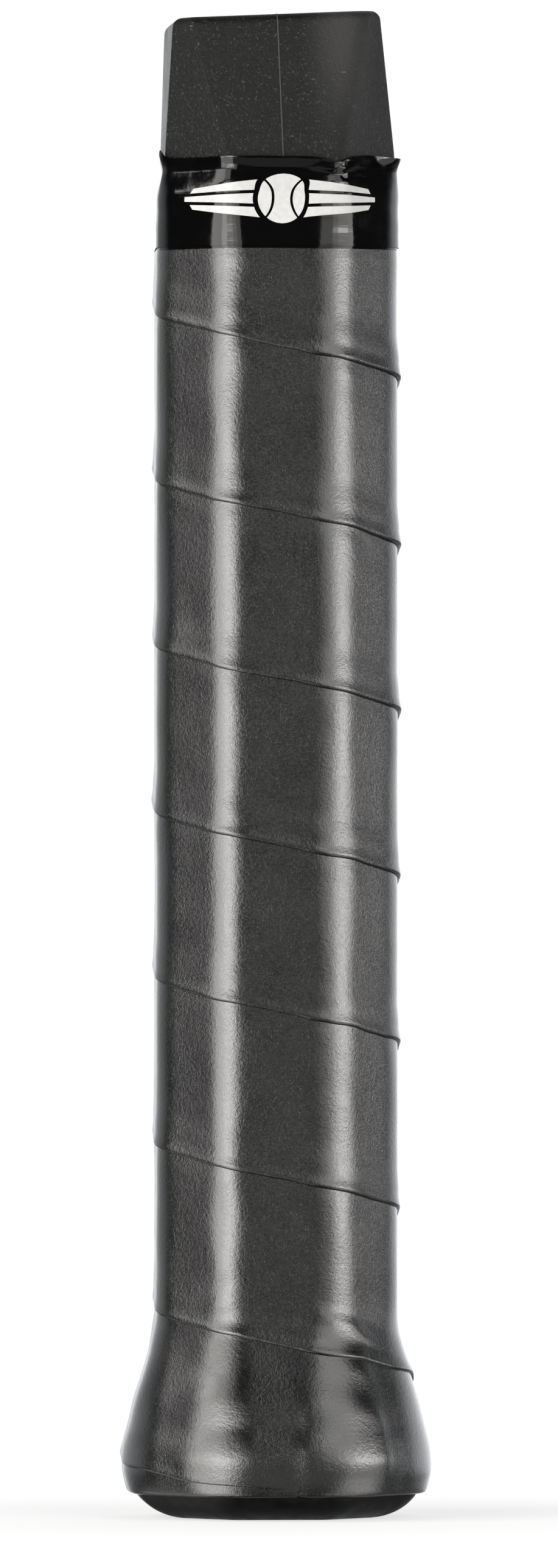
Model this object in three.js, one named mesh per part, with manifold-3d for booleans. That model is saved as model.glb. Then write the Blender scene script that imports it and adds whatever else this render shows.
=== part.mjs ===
// A racket handle section wound with overgrip tape, standing on its butt.
//
// Millimetres. +Z runs up the handle, the origin is the centre of the butt's resting face, and the
// wide front face of the octagonal handle looks towards -Y. The two halves of the pallet meet on the
// plane X = 0, the butt cap slides over their foot, four staples hold it, a snap-in door closes the
// weight compartment, and the tape is wound from the butt to the top, where film tape holds its end.
import * as THREE from "three";
import { mergeVertices } from "three/addons/utils/BufferGeometryUtils.js";
import Module from "manifold-3d";

const wasm = await Module();
wasm.setup();

// ---- Driving dimensions -------------------------------------------------------------------------

const clearance = 0.3; // between pieces that fit into each other
const seamGap = 0.2; // between the two pallet halves, the fine line down the front face

// The bare pallet: an octagon of 34.7 by 30.2, which is a 4 1/4 inch grip size (108 round).
const palletWidth = 34.7;
const palletDepth = 30.2;
const bevelRun = 9.2; // how far each 45 degree bevel reaches across the width
const cornerRadius = 3;
const palletWall = 2.6;
const webThickness = 2.2;
const cellCount = 4; // hollow cells above the staple web
const palletTop = 224.4; // on the handle's axis
const solidTop = 6.9; // of the pallet, above its highest cell

// Pegs on the left half locate it in the right one, in bosses on some of the webs.
const pegWebs = [1, 2, 3]; // counted up from the staple web
const pegRadius = 1.5;
const pegReach = 4;
const bossRadius = 3;

// The uncovered top of the pallet narrows, its bevels run out, and it leans a little to the left.
const taperStart = 203.5;
const topWidth = 31.6;
const topDepth = 28.4;
const topBevelRun = 2.4;
const topCornerRadius = 1.5;
const topEdgeRound = 1.4;
const lean = THREE.MathUtils.degToRad(2.3);

// The butt cap: a sleeve over the pallet's foot that flares out by 4.72 all round.
const flareGrowth = 4.72;
const flareTop = 31.5;
const flareWidest = 9;
const buttFlatHalfWidth = 13; // of the flat face that the handle stands on
const buttRoundness = 2.6;
const buttCornerRadius = 1.5; // the least at the octagon's corners, in plan
const buttRoundHeights = [0, 0.3, 0.9, 2]; // at which the rounded lower edge has its facets
const sleeveTop = 33;
const sleeveWall = 1;
const capFloor = 2.9;

// The snap-in door in the butt's end.
const doorRadius = 7.8;
const doorRecess = 0.6; // how far its face lies above the resting face
const doorThickness = 1.2;
const doorSkirtRadius = 6.6;
const doorSkirtWall = 1.3;
const doorSkirtTop = 6.5;
const coinSlotLength = 9;
const coinSlotWidth = 1.4;
const coinSlotDepth = 0.5;

// The staples through the butt cap's sleeve into the pallet's staple web.
const stapleHeight = 25;
const stapleWire = 0.9; // wire width along the handle
const stapleThickness = 0.5;
const stapleSpan = 9;
const stapleLeg = 5;
const stapleSink = 0.2; // the crown's outer face lies this far below the cap's surface
const stapleSlotReach = 2; // how far a staple's slot runs out past the crown
const stapleWebBottom = 22.5;
const stapleWebTop = 27.5;

// The overgrip: a strip 28 wide, wound with one edge over the last turn.
const pitch = 24.78;
const frontSeamHeight = 26.1; // of the lowest free seam, at the middle of the front face
const frontTurn = 0.75; // the front face's middle, in turns up from the left side
const seamWander = 0.54; // seams lie flatter across the front than round the back
const buttCrowding = 2.9; // how much the first turn is drawn together over the flare
const overlap = 4;
const edgeRise = 5.2; // how far from its lower edge the strip comes down to the pallet
const edgeLift = 0.33;
const coverThickness = 0.25;
const backingThickness = 0.15;
const layerGap = 0.05;
const standOff = 0.26;
const starterLift = 0.15; // extra room over the starter adhesive
const tapeFoot = 3.6;
const tapeHead = 197.3;
const narrowestTape = 7; // where its two slanted ends are cut

// The starter adhesive under the strip's first stretch.
const adhesiveThickness = 0.12;
const adhesiveFoot = 6;
const adhesiveTurns = 0.3;

// The finishing film over the strip's upper end.
const filmFoot = 190;
const filmHead = 203.6;
const filmThickness = 0.13;
const filmTurns = 1.9;
const filmRise = 0.2; // per turn, so that each turn clears the one below it
const filmStartTurn = 0.05;
const filmDropFrom = 0.5; // the film comes down off the strip's upper edge from here below it
const filmDropTo = 1.5; // to here above it

// The printed mark: a ball between two tapered bars.
const markRadius = 3;
const markBarLength = 4.2;
const markBarHalfHeight = 1.1;
const markThickness = 0.1;

// Facets, and the reach of a cutting solid past the face that it cuts.
const markSteps = 20;
const roundSteps = 32;
const rodSides = 12;
const capSteps = 8;
const cutReach = 1;
const leastRadius = 0.4;
const weldDistance = 1e-4;

// ---- Derived values -----------------------------------------------------------------------------

const EIGHTH_TURN = Math.PI / 4;
const EDGES = 8;
const tapeThickness = standOff + backingThickness + layerGap + coverThickness;
const rebate = sleeveWall + clearance;
const palletFoot = capFloor + clearance;
const doorHole = doorSkirtRadius + clearance;
const doorSeat = doorRadius + clearance;
const filmOverPallet = 2 * layerGap;
const filmOverTape = tapeThickness + edgeLift + filmOverPallet;
const cellStep = (palletTop - solidTop - stapleWebTop) / cellCount;

// ---- The octagonal wall -------------------------------------------------------------------------

function octagon(width, depth, run, radius) {
  return {
    halfX: width / 2,
    halfY: depth / 2,
    halfBevel: (width / 2 + depth / 2 - run) / Math.SQRT2,
    radius,
  };
}

const PALLET = octagon(palletWidth, palletDepth, bevelRun, cornerRadius);
const TOP = octagon(topWidth, topDepth, topBevelRun, topCornerRadius);

function grown(shape, amount, radius = shape.radius + amount) {
  return {
    halfX: shape.halfX + amount,
    halfY: shape.halfY + amount,
    halfBevel: shape.halfBevel + amount,
    radius: Math.max(radius, leastRadius),
  };
}

function between(a, b, share) {
  const blend = {};
  for (const key of Object.keys(a)) blend[key] = THREE.MathUtils.lerp(a[key], b[key], share);
  return blend;
}

// How far the butt cap stands out from the straight pallet at a height.
function flare(z) {
  if (z >= flareWidest) return flareGrowth * THREE.MathUtils.smoothstep(flareTop - z, 0, flareTop - flareWidest);
  const widest = PALLET.halfX + flareGrowth;
  const drop = Math.pow((flareWidest - z) / flareWidest, buttRoundness);
  const half = buttFlatHalfWidth + (widest - buttFlatHalfWidth) * Math.sqrt(Math.max(0, 1 - drop));
  return half - PALLET.halfX;
}

// The handle's outer shape at a height, under the tape.
function outerShape(z) {
  const radius = Math.max(cornerRadius + flare(z), buttCornerRadius);
  if (z <= taperStart) return grown(PALLET, flare(z), radius);
  return between(PALLET, TOP, Math.min(1, (z - taperStart) / (palletTop - taperStart)));
}

function edgeDistance(edge, shape) {
  if (edge % 4 === 0) return shape.halfX;
  return edge % 4 === 2 ? shape.halfY : shape.halfBevel;
}

// A place on the wall: an edge of the octagon, whose next corner it lies on, and the angle it faces.
// Edge 0 is the left side, and seen from above edges and places run counter-clockwise.
function wallPoint(place, z, shape, outward = 0) {
  const a = edgeDistance(place.edge, shape) - shape.radius;
  const b = edgeDistance(place.edge + 1, shape) - shape.radius;
  const start = Math.PI + place.edge * EIGHTH_TURN;
  const along = (b - a * Math.cos(EIGHTH_TURN)) / Math.sin(EIGHTH_TURN);
  const reach = shape.radius + outward;
  const shear = Math.tan(lean) * Math.max(0, z - taperStart);
  return new THREE.Vector3(
    a * Math.cos(start) - along * Math.sin(start) + reach * Math.cos(place.angle) - shear,
    a * Math.sin(start) + along * Math.cos(start) + reach * Math.sin(place.angle),
    z,
  );
}

// Both ends of each rounded corner, with the share of the whole way round at which each one lies.
function wallPlaces() {
  const places = [];
  for (let edge = 0; edge < EDGES; edge++) {
    for (const step of [0, 1]) places.push({ edge, angle: Math.PI + (edge + step) * EIGHTH_TURN });
  }
  const points = places.map((place) => wallPoint(place, 0, PALLET));
  const leftMiddle = new THREE.Vector3(-PALLET.halfX, 0, 0);
  let travelled = leftMiddle.distanceTo(points[0]);
  const lengths = [travelled];
  for (let i = 1; i < points.length; i++) {
    travelled += points[i].distanceTo(points[i - 1]);
    lengths.push(travelled);
  }
  const whole = travelled + points.at(-1).distanceTo(leftMiddle);
  places.forEach((place, i) => (place.share = lengths[i] / whole));
  return places;
}

const PLACES = wallPlaces();

function ring(z, shape, outward = 0) {
  return PLACES.map((place) => wallPoint(place, z, shape, outward));
}

// ---- Closed meshes ------------------------------------------------------------------------------

function geometryOf(points, triangles) {
  const geometry = new THREE.BufferGeometry().setFromPoints(points);
  geometry.setIndex(triangles);
  return geometry;
}

// A solid through closed sections that all have the same number of points, with flat fans at its ends.
// Each quad between two sections is cut in two. A strip is cut the other way on its returning side, so
// that the facing sides of two layers, whose points lie at the same places, get the same facets.
function loft(sections, returnsAt = sections[0].length) {
  const count = sections[0].length;
  const last = (sections.length - 1) * count;
  const triangles = [];
  for (let s = 0; s < sections.length - 1; s++) {
    for (let i = 0; i < count; i++) {
      const a = s * count + i;
      const b = s * count + ((i + 1) % count);
      if (i < returnsAt) triangles.push(a, b, b + count, a, b + count, a + count);
      else triangles.push(a, b, a + count, b, b + count, a + count);
    }
  }
  for (let i = 1; i < count - 1; i++) {
    triangles.push(0, i + 1, i);
    triangles.push(last, last + i, last + i + 1);
  }
  return geometryOf(sections.flat(), triangles);
}

function solid(geometry) {
  const bare = geometry.clone();
  bare.deleteAttribute("normal");
  bare.deleteAttribute("uv");
  const merged = mergeVertices(bare, weldDistance);
  return new wasm.Manifold(
    new wasm.Mesh({
      numProp: 3,
      vertProperties: new Float32Array(merged.attributes.position.array),
      triVerts: new Uint32Array(merged.index.array),
    }),
  );
}

function geometryFrom(manifold) {
  const mesh = manifold.getMesh();
  const geometry = new THREE.BufferGeometry();
  geometry.setAttribute("position", new THREE.BufferAttribute(mesh.vertProperties.slice(), 3));
  geometry.setIndex(Array.from(mesh.triVerts));
  return geometry;
}

function box(low, high) {
  const size = new THREE.Vector3().subVectors(high, low);
  const middle = new THREE.Vector3().addVectors(low, high).multiplyScalar(0.5);
  return solid(new THREE.BoxGeometry(size.x, size.y, size.z).translate(middle.x, middle.y, middle.z));
}

// A solid turned about the handle's axis, from a closed outline of [radius, height] points.
function turned(outline) {
  const points = [...outline, outline[0]].map(([radius, z]) => new THREE.Vector2(radius, z));
  return solid(new THREE.LatheGeometry(points, roundSteps).rotateX(Math.PI / 2));
}

// ---- The pallet ---------------------------------------------------------------------------------

function palletOuter() {
  const foot = grown(PALLET, -rebate);
  const sections = [ring(palletFoot, foot), ring(sleeveTop + clearance, foot)];
  sections.push(ring(sleeveTop + clearance, PALLET), ring(taperStart, PALLET));
  const slope = (points) => points.map((p) => p.setZ(p.z + p.x * Math.tan(lean)));
  const rim = palletTop - topEdgeRound;
  sections.push(slope(ring(rim, outerShape(rim))));
  sections.push(slope(ring(palletTop, grown(TOP, -topEdgeRound, topCornerRadius))));
  return solid(loft(sections));
}

// The hollow cells between the webs, each open towards the other half. The lowest one, under the
// staple web, is the weight compartment, which the door closes.
function palletCells() {
  const inside = grown(PALLET, -palletWall);
  const cells = [solid(loft([ring(0, inside), ring(stapleWebBottom, inside)]))];
  for (let i = 0; i < cellCount; i++) {
    const low = stapleWebTop + i * cellStep + (i === 0 ? 0 : webThickness);
    const high = stapleWebTop + (i + 1) * cellStep;
    const upper = i === cellCount - 1 ? grown(outerShape(high), -palletWall) : inside;
    cells.push(solid(loft([ring(low, inside), ring(high, upper)])));
  }
  return cells;
}

function crossRod(radius, fromX, toX, z) {
  const rod = new THREE.CylinderGeometry(radius, radius, toX - fromX, rodSides).rotateZ(Math.PI / 2);
  return solid(rod.translate((fromX + toX) / 2, 0, z));
}

// One half of the pallet's shell: the left one has the pegs, and the right one their holes.
function palletHalf(side, shell) {
  const face = seamGap / 2;
  const far = palletWidth;
  const low = side < 0 ? -far : face;
  const high = side < 0 ? -face : far;
  const keep = box(new THREE.Vector3(low, -far, -far), new THREE.Vector3(high, far, palletTop + far));
  let half = shell.intersect(keep);
  const bossEnd = PALLET.halfX - palletWall / 2;
  for (const web of pegWebs) {
    const z = stapleWebTop + web * cellStep + webThickness / 2;
    if (side < 0) {
      half = half.add(crossRod(bossRadius, -bossEnd, -face, z));
      half = half.add(crossRod(pegRadius, -bossEnd, pegReach, z));
    } else {
      half = half.add(crossRod(bossRadius, face, bossEnd, z));
      half = half.subtract(crossRod(pegRadius + clearance, 0, pegReach + clearance, z));
    }
  }
  return half;
}

// ---- Staples ------------------------------------------------------------------------------------

// The four faces that carry a staple, as turns about the handle's axis from the front face.
const stapleFaces = [
  { name: "front", turn: 0, halfWidth: PALLET.halfY },
  { name: "right", turn: 1, halfWidth: PALLET.halfX },
  { name: "back", turn: 2, halfWidth: PALLET.halfY },
  { name: "left", turn: 3, halfWidth: PALLET.halfX },
];

// A staple's outline in plan, crown outwards, grown all round by a margin for its slot.
function stapleShape(crownY, margin, crownTop) {
  const outerX = stapleSpan / 2 + margin;
  const innerX = stapleSpan / 2 - stapleThickness - margin;
  const tip = crownY + stapleThickness + stapleLeg + margin;
  const bottom = crownY + stapleThickness + margin;
  const outline = [
    [-outerX, crownTop],
    [outerX, crownTop],
    [outerX, tip],
    [innerX, tip],
    [innerX, bottom],
    [-innerX, bottom],
    [-innerX, tip],
    [-outerX, tip],
  ];
  return new THREE.Shape(outline.map(([x, y]) => new THREE.Vector2(x, y)));
}

function stapleSolid(face, margin, open) {
  const crownY = -(face.halfWidth + flare(stapleHeight) - stapleSink);
  const crownTop = open ? crownY - stapleSlotReach : crownY;
  const depth = stapleWire + 2 * margin;
  const bar = new THREE.ExtrudeGeometry(stapleShape(crownY, margin, crownTop), { depth, bevelEnabled: false });
  bar.translate(0, 0, stapleHeight - depth / 2);
  return solid(bar.rotateZ(face.turn * 2 * EIGHTH_TURN));
}

const stapleSlots = stapleFaces.map((face) => stapleSolid(face, clearance, true));

function withoutStapleSlots(piece) {
  return stapleSlots.reduce((rest, slot) => rest.subtract(slot), piece);
}

// ---- Butt cap and door --------------------------------------------------------------------------

function capHeights() {
  const heights = [...buttRoundHeights, tapeFoot, adhesiveFoot];
  const step = (sleeveTop - flareWidest) / capSteps;
  for (let i = 0; i <= capSteps; i++) heights.push(flareWidest + i * step);
  return heights;
}

function buttCap() {
  const outer = solid(loft(capHeights().map((z) => ring(z, outerShape(z)))));
  const bore = grown(PALLET, -sleeveWall);
  const inner = solid(loft([ring(capFloor, bore), ring(sleeveTop + cutReach, bore)]));
  const seatTop = doorRecess + doorThickness + clearance;
  const opening = turned([
    [0, -cutReach],
    [doorSeat, -cutReach],
    [doorSeat, seatTop],
    [doorHole, seatTop],
    [doorHole, capFloor + cutReach],
    [0, capFloor + cutReach],
  ]);
  return withoutStapleSlots(outer.subtract(inner).subtract(opening));
}

function buttCapDoor() {
  const flangeTop = doorRecess + doorThickness;
  const skirtInside = doorSkirtRadius - doorSkirtWall;
  const disc = turned([
    [0, doorRecess],
    [doorRadius, doorRecess],
    [doorRadius, flangeTop],
    [doorSkirtRadius, flangeTop],
    [doorSkirtRadius, doorSkirtTop],
    [skirtInside, doorSkirtTop],
    [skirtInside, flangeTop],
    [0, flangeTop],
  ]);
  const slotLow = new THREE.Vector3(-coinSlotLength / 2, -coinSlotWidth / 2, 0);
  const slotHigh = new THREE.Vector3(coinSlotLength / 2, coinSlotWidth / 2, doorRecess + coinSlotDepth);
  return disc.subtract(box(slotLow, slotHigh));
}

// ---- The wound strip ----------------------------------------------------------------------------

// A strip whose sections each go up the outer face and back down the inner face. The sections follow
// each other clockwise, so this order turns the faces outwards.
function strip(sections) {
  return loft(sections, sections[0].length / 2);
}

// Height of the seam, the strip's lower edge, after so many turns up from the left side. One turn
// goes once round, clockwise seen from above.
function seamHeight(turn) {
  const past = turn - frontTurn;
  const crowding = buttCrowding * Math.max(0, -past) ** 2;
  return frontSeamHeight + pitch * past - seamWander * Math.sin(2 * Math.PI * past) + crowding;
}

function stripLow(turn) {
  return Math.max(seamHeight(turn), tapeFoot);
}

function stripHigh(turn) {
  return Math.min(seamHeight(turn + 1) + overlap, tapeHead);
}

// The places that a winding passes between two turn counts, in order up the handle.
function stations(from, to) {
  const list = [];
  for (let whole = Math.floor(from); whole <= Math.ceil(to) + 1; whole++) {
    for (const place of PLACES) list.push({ place, turn: whole - place.share });
  }
  return list.filter((s) => s.turn >= from && s.turn <= to).sort((a, b) => a.turn - b.turn);
}

function stripStations() {
  return stations(-2, palletTop / pitch).filter((s) => stripHigh(s.turn) - stripLow(s.turn) > narrowestTape);
}

// Distances from the strip's lower edge at which its section has points: the raised lower edge, the
// body, and the thinned upper edge that the next turn covers. The backing ends halfway up that edge.
function stripGrid(turn) {
  const width = stripHigh(turn) - stripLow(turn);
  const atFoot = stripLow(turn) === tapeFoot;
  const atHead = stripHigh(turn) === tapeHead;
  const rise = atFoot ? Math.min(edgeRise, (width - overlap) / 2) : edgeRise;
  const fall = width - (atHead ? Math.min(overlap, (width - edgeRise) / 2) : overlap);
  const third = (fall - rise) / 3;
  const body = [rise, rise + third, fall - third, fall, (fall + width) / 2];
  return { rise, fall, width, body };
}

// How far the strip's outer face stands from the pallet at a distance from its lower edge.
function stripOuter(grid, across) {
  if (across < grid.rise) return tapeThickness + edgeLift * (1 - across / grid.rise);
  if (across <= grid.fall) return tapeThickness;
  const share = (across - grid.fall) / (grid.width - grid.fall);
  return THREE.MathUtils.lerp(tapeThickness, coverThickness + standOff + layerGap / 2, share);
}

function starterRoom(turn, first) {
  return starterLift * (1 - THREE.MathUtils.smoothstep(turn - first, adhesiveTurns, 2 * adhesiveTurns));
}

function layerSection(station, acrossList, outerOf, innerOf) {
  const low = stripLow(station.turn);
  const at = (across, outward) => {
    const z = low + across;
    return wallPoint(station.place, z, outerShape(Math.min(z, taperStart)), outward);
  };
  const outer = acrossList.map((across) => at(across, outerOf(across)));
  const inner = acrossList.map((across) => at(across, innerOf(across)));
  return [...outer, ...inner.reverse()];
}

function gripCover() {
  const first = stripStations()[0].turn;
  const sections = stripStations().map((station) => {
    const grid = stripGrid(station.turn);
    const across = [0, grid.rise / 2, ...grid.body, grid.width];
    const room = starterRoom(station.turn, first);
    const outerOf = (s) => stripOuter(grid, s) + room;
    return layerSection(station, across, outerOf, (s) => outerOf(s) - coverThickness);
  });
  return strip(sections);
}

function gripBacking() {
  const first = stripStations()[0].turn;
  const sections = stripStations().map((station) => {
    const grid = stripGrid(station.turn);
    const room = starterRoom(station.turn, first);
    const outerOf = (s) => stripOuter(grid, s) - coverThickness - layerGap + room;
    return layerSection(station, grid.body, outerOf, () => standOff + room);
  });
  return strip(sections);
}

function starterAdhesive() {
  const first = stripStations()[0].turn;
  const patch = stations(first, first + adhesiveTurns);
  const sections = patch.map(({ place }) => {
    const at = (z, outward) => wallPoint(place, z, outerShape(z), outward);
    const heights = [adhesiveFoot, flareWidest];
    const inner = heights.map((z) => at(z, layerGap));
    const outer = heights.map((z) => at(z, layerGap + adhesiveThickness));
    return [...outer, ...inner.reverse()];
  });
  return strip(sections);
}

// ---- Finishing film and its mark ----------------------------------------------------------------

function finishingFilm() {
  const last = filmStartTurn + filmTurns;
  const sections = stations(filmStartTurn, last).map(({ place, turn }) => {
    const spiral = filmRise * (last - turn);
    const levels = [
      [filmFoot, filmOverTape],
      [tapeHead - filmDropFrom, filmOverTape],
      [tapeHead + filmDropTo, filmOverPallet],
      [filmHead, filmOverPallet],
    ];
    const at = (z, outward) => wallPoint(place, Math.min(z, taperStart), PALLET, outward + spiral).setZ(z);
    const inner = levels.map(([z, outward]) => at(z, outward));
    const outer = levels.map(([z, outward]) => at(z, outward + filmThickness));
    return [...outer, ...inner.reverse()];
  });
  return strip(sections);
}

// The mark's outline runs along both bars and round the ball between them.
function filmMark() {
  const outline = new THREE.Shape();
  const reach = markRadius + markBarLength;
  const join = Math.asin(markBarHalfHeight / markRadius);
  outline.moveTo(-reach, 0);
  outline.lineTo(-markRadius * Math.cos(join), -markBarHalfHeight);
  outline.absarc(0, 0, markRadius, Math.PI + join, 2 * Math.PI - join, false);
  outline.lineTo(reach, 0);
  outline.absarc(0, 0, markRadius, join, Math.PI - join, false);
  outline.closePath();
  const outermost = PALLET.halfY + filmOverTape + filmThickness + filmRise * filmTurns;
  const plate = new THREE.ExtrudeGeometry(outline, {
    depth: markThickness,
    bevelEnabled: false,
    curveSegments: markSteps,
  });
  plate.rotateX(Math.PI / 2);
  return plate.translate(0, -(outermost + layerGap), (filmFoot + tapeHead) / 2);
}

// ---- The assembly -------------------------------------------------------------------------------

const blackNylon = { color: 0x222222, roughness: 0.55, metalness: 0 };
const blackPolyurethane = { color: 0x2b2b2a, roughness: 0.38, metalness: 0 };
const greyFelt = { color: 0x3a3a3c, roughness: 0.95, metalness: 0 };
const clearAdhesive = { color: 0xd8d2bc, roughness: 0.4, metalness: 0 };
const glossFilm = { color: 0x0c0c0d, roughness: 0.12, metalness: 0 };
const whiteInk = { color: 0xf2f2f0, roughness: 0.35, metalness: 0 };
const steelWire = { color: 0xb8babd, roughness: 0.3, metalness: 1 };

const handle = new THREE.Group();

function addPiece(name, shape, finish) {
  const geometry = shape.isBufferGeometry ? shape : geometryFrom(shape);
  const mesh = new THREE.Mesh(geometry, new THREE.MeshStandardMaterial(finish));
  mesh.name = name;
  handle.add(mesh);
}

const shell = withoutStapleSlots(palletCells().reduce((rest, cell) => rest.subtract(cell), palletOuter()));
addPiece("pallet_half_left", palletHalf(-1, shell), blackNylon);
addPiece("pallet_half_right", palletHalf(1, shell), blackNylon);
addPiece("butt_cap", buttCap(), blackNylon);
addPiece("butt_cap_door", buttCapDoor(), blackNylon);
for (const face of stapleFaces) addPiece("cap_staple_" + face.name, stapleSolid(face, 0, false), steelWire);
addPiece("starter_adhesive", starterAdhesive(), clearAdhesive);
addPiece("grip_tape_backing", gripBacking(), greyFelt);
addPiece("grip_tape_cover", gripCover(), blackPolyurethane);
addPiece("finishing_film", finishingFilm(), glossFilm);
addPiece("finishing_film_mark", filmMark(), whiteInk);

export default handle;
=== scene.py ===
"""A racket handle section wound with overgrip tape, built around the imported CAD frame.

Lengths are in millimetres until a mesh is made, and the frame's metres from there on. Heights run
up the handle from the butt's resting face. A share is the part of the way round the octagon, counted
from the middle of the left side by way of the front, and a turn counts the other way, up the winding.
"""
import math

import bmesh
import bpy
import numpy as np
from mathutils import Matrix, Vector


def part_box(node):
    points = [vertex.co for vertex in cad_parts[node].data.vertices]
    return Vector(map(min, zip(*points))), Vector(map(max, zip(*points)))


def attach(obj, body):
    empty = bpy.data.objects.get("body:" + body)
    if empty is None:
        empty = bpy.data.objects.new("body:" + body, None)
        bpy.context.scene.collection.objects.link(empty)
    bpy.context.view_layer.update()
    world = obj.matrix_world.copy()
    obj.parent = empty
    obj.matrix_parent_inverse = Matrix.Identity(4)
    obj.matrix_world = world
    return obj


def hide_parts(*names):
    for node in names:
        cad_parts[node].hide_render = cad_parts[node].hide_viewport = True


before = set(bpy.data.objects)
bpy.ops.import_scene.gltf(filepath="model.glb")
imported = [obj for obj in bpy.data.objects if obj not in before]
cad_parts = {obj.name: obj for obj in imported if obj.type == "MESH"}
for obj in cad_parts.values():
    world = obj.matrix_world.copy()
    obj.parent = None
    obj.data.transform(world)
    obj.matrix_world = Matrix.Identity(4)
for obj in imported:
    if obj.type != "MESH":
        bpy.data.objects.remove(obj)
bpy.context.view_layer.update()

MM = 0.001
HANDLE = "handle"
DOOR = "door"


def box_mm(node):
    low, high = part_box(node)
    return [v / MM for v in low], [v / MM for v in high]


# ---- Sizes ----

HALF_LOW, _ = box_mm("pallet_half_left")
COVER_LOW, COVER_HIGH = box_mm("grip_tape_cover")
FILM_LOW, FILM_HIGH = box_mm("finishing_film")
_, CAP_HIGH = box_mm("butt_cap")
DOOR_LOW, DOOR_HIGH = box_mm("butt_cap_door")
STAPLE_LOW, STAPLE_HIGH = box_mm("cap_staple_front")

CLEARANCE = 0.3
PALLET_WIDTH = 34.7
PALLET_DEPTH = 30.2
BEVEL_RUN = 9.2
CORNER_RADIUS = 3.0
PALLET_WALL = 2.6
CELL_CORNER_TIGHTENING = 0.6
SEAM_GAP = 0.2
WEB = 2.2
CELLS = 4
PALLET_FOOT = HALF_LOW[2]
PALLET_TOP = 224.4
SOLID_TOP = 6.9
PEG_WEBS = (1, 2, 3)
PEG_RADIUS = 1.5
PEG_REACH = 4.0
BOSS_RADIUS = 3.0

TAPER_START = 201.4
TOP_WIDTH = 30.8
TOP_DEPTH = 28.4
TOP_BEVEL_RUN = 2.4
STUB_CORNER_RADIUS = 0.4
STUB_SOFT_CORNER = 3.2
STUB_SHIFT = 0.3
FLASH_HALF_WIDTH = 0.11
FLASH_HEIGHT = 0.085
TOP_EDGE_ROUND = 1.4
RIM = PALLET_TOP - TOP_EDGE_ROUND
LEAN = math.radians(2.3)

FLARE_GROWTH = 4.72
FLARE_TOP = 31.5
FLARE_WIDEST = 9.0
BUTT_FLAT_HALF = 13.0
BUTT_ROUNDNESS = 2.6
BUTT_CORNER_RADIUS = 1.5
FLARE_SOFTENING = 1.2
SLEEVE_TOP = CAP_HIGH[2]
SLEEVE_WALL = 1.0
CAP_FLOOR = 2.9

DOOR_RADIUS = DOOR_HIGH[0]
DOOR_RECESS = DOOR_LOW[2]
DOOR_THICKNESS = 1.2
DOOR_SKIRT_RADIUS = 6.6
DOOR_SKIRT_WALL = 1.3
DOOR_SKIRT_TOP = DOOR_HIGH[2]
DOOR_EDGE_ROUND = 0.22
SEAT_CHAMFER = 0.35
COIN_SLOT = (9.0, 1.4, 0.5)

STAPLE_HEIGHT = (STAPLE_LOW[2] + STAPLE_HIGH[2]) / 2
STAPLE_SINK = 0.2
STAPLE_WIRE = 0.9
STAPLE_THICKNESS = 0.5
STAPLE_SPAN = 9.0
STAPLE_LEG = 5.0
STAPLE_BEND = 0.55
STAPLE_EDGE_ROUND = 0.12
STAPLE_WEB_BOTTOM = 22.5
STAPLE_WEB_TOP = 27.5
CELL_STEP = (PALLET_TOP - SOLID_TOP - STAPLE_WEB_TOP) / CELLS

PITCH = 24.78
FRONT_SEAM_HEIGHT = 26.1
FRONT_TURN = 0.75
SEAM_WANDER = 0.54
BUTT_CROWDING = 2.9
OVERLAP = 4.0
EDGE_LIFT = 0.34
LIP = 0.34
CUT_EDGE_DROP = 0.35
FAR_EDGE_THINNING = 0.17
PRESSED_SHARE = 0.12
TUCKED_SHARE = 0.3
SKIN_GAP = 0.01
COVER_THICKNESS = 0.25
BACKING_THICKNESS = 0.15
FELT_SINK = 0.07
LAYER_GAP = 0.05
TAPE_CORNER_SOFTENING = 2.3
SLACK_CORNER_SOFTENING = 1.3
SLACK_PADDING = 0.15
SLACK_REACH = (0.03, 0.065)
SLACK_TOP = 24.0
SLACK_FADE = 10.0
BRIDGING = 0.75
BRIDGING_WEIGHTS = (0.1, 0.23, 0.34, 0.23, 0.1)
STAND_OFF = 0.26
TAPE_THICKNESS = STAND_OFF + BACKING_THICKNESS + LAYER_GAP + COVER_THICKNESS
TAPE_FOOT = COVER_LOW[2]
TAPE_HEAD = COVER_HIGH[2]
FOOT_FADE = 0.6
STRIP_WIDTH = PITCH + OVERLAP
NARROWEST_TAPE = 4.3

ADHESIVE_THICKNESS = 0.1
ADHESIVE_FOOT = 6.0
ADHESIVE_TURNS = 0.3

FILM_FOOT = FILM_LOW[2]
FILM_HEAD = FILM_HIGH[2]
FILM_THICKNESS = 0.055
FILM_TURNS = 1.9
FILM_CREEP = 0.6
FILM_START_TURN = 0.05

# Each band is two heights, between which one shape passes into another.
STUB_CRISP_BAND = (200.8, 204.5)
STUB_SHIFT_BAND = (196.0, 202.0)
TAPE_END_BAND = (197.8, 200.2)
TAPE_TUCK_BAND = (191.0, 196.5)
COVER_PRESSED_BAND = (FILM_FOOT - 1.9, FILM_FOOT - 0.3)
BACKING_PRESSED_BAND = (FILM_FOOT - 1.2, FILM_FOOT + 0.4)

EIGHTH = math.pi / 4


# ---- Smooth random fields ----

def smooth(value, low, high):
    """0 below low, 1 above high, and an even curve between."""
    part = np.clip((value - low) / (high - low), 0.0, 1.0)
    return part * part * (3 - 2 * part)


def hill(value, middle, width):
    return np.exp(-(((value - middle) / width) ** 2))


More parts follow.
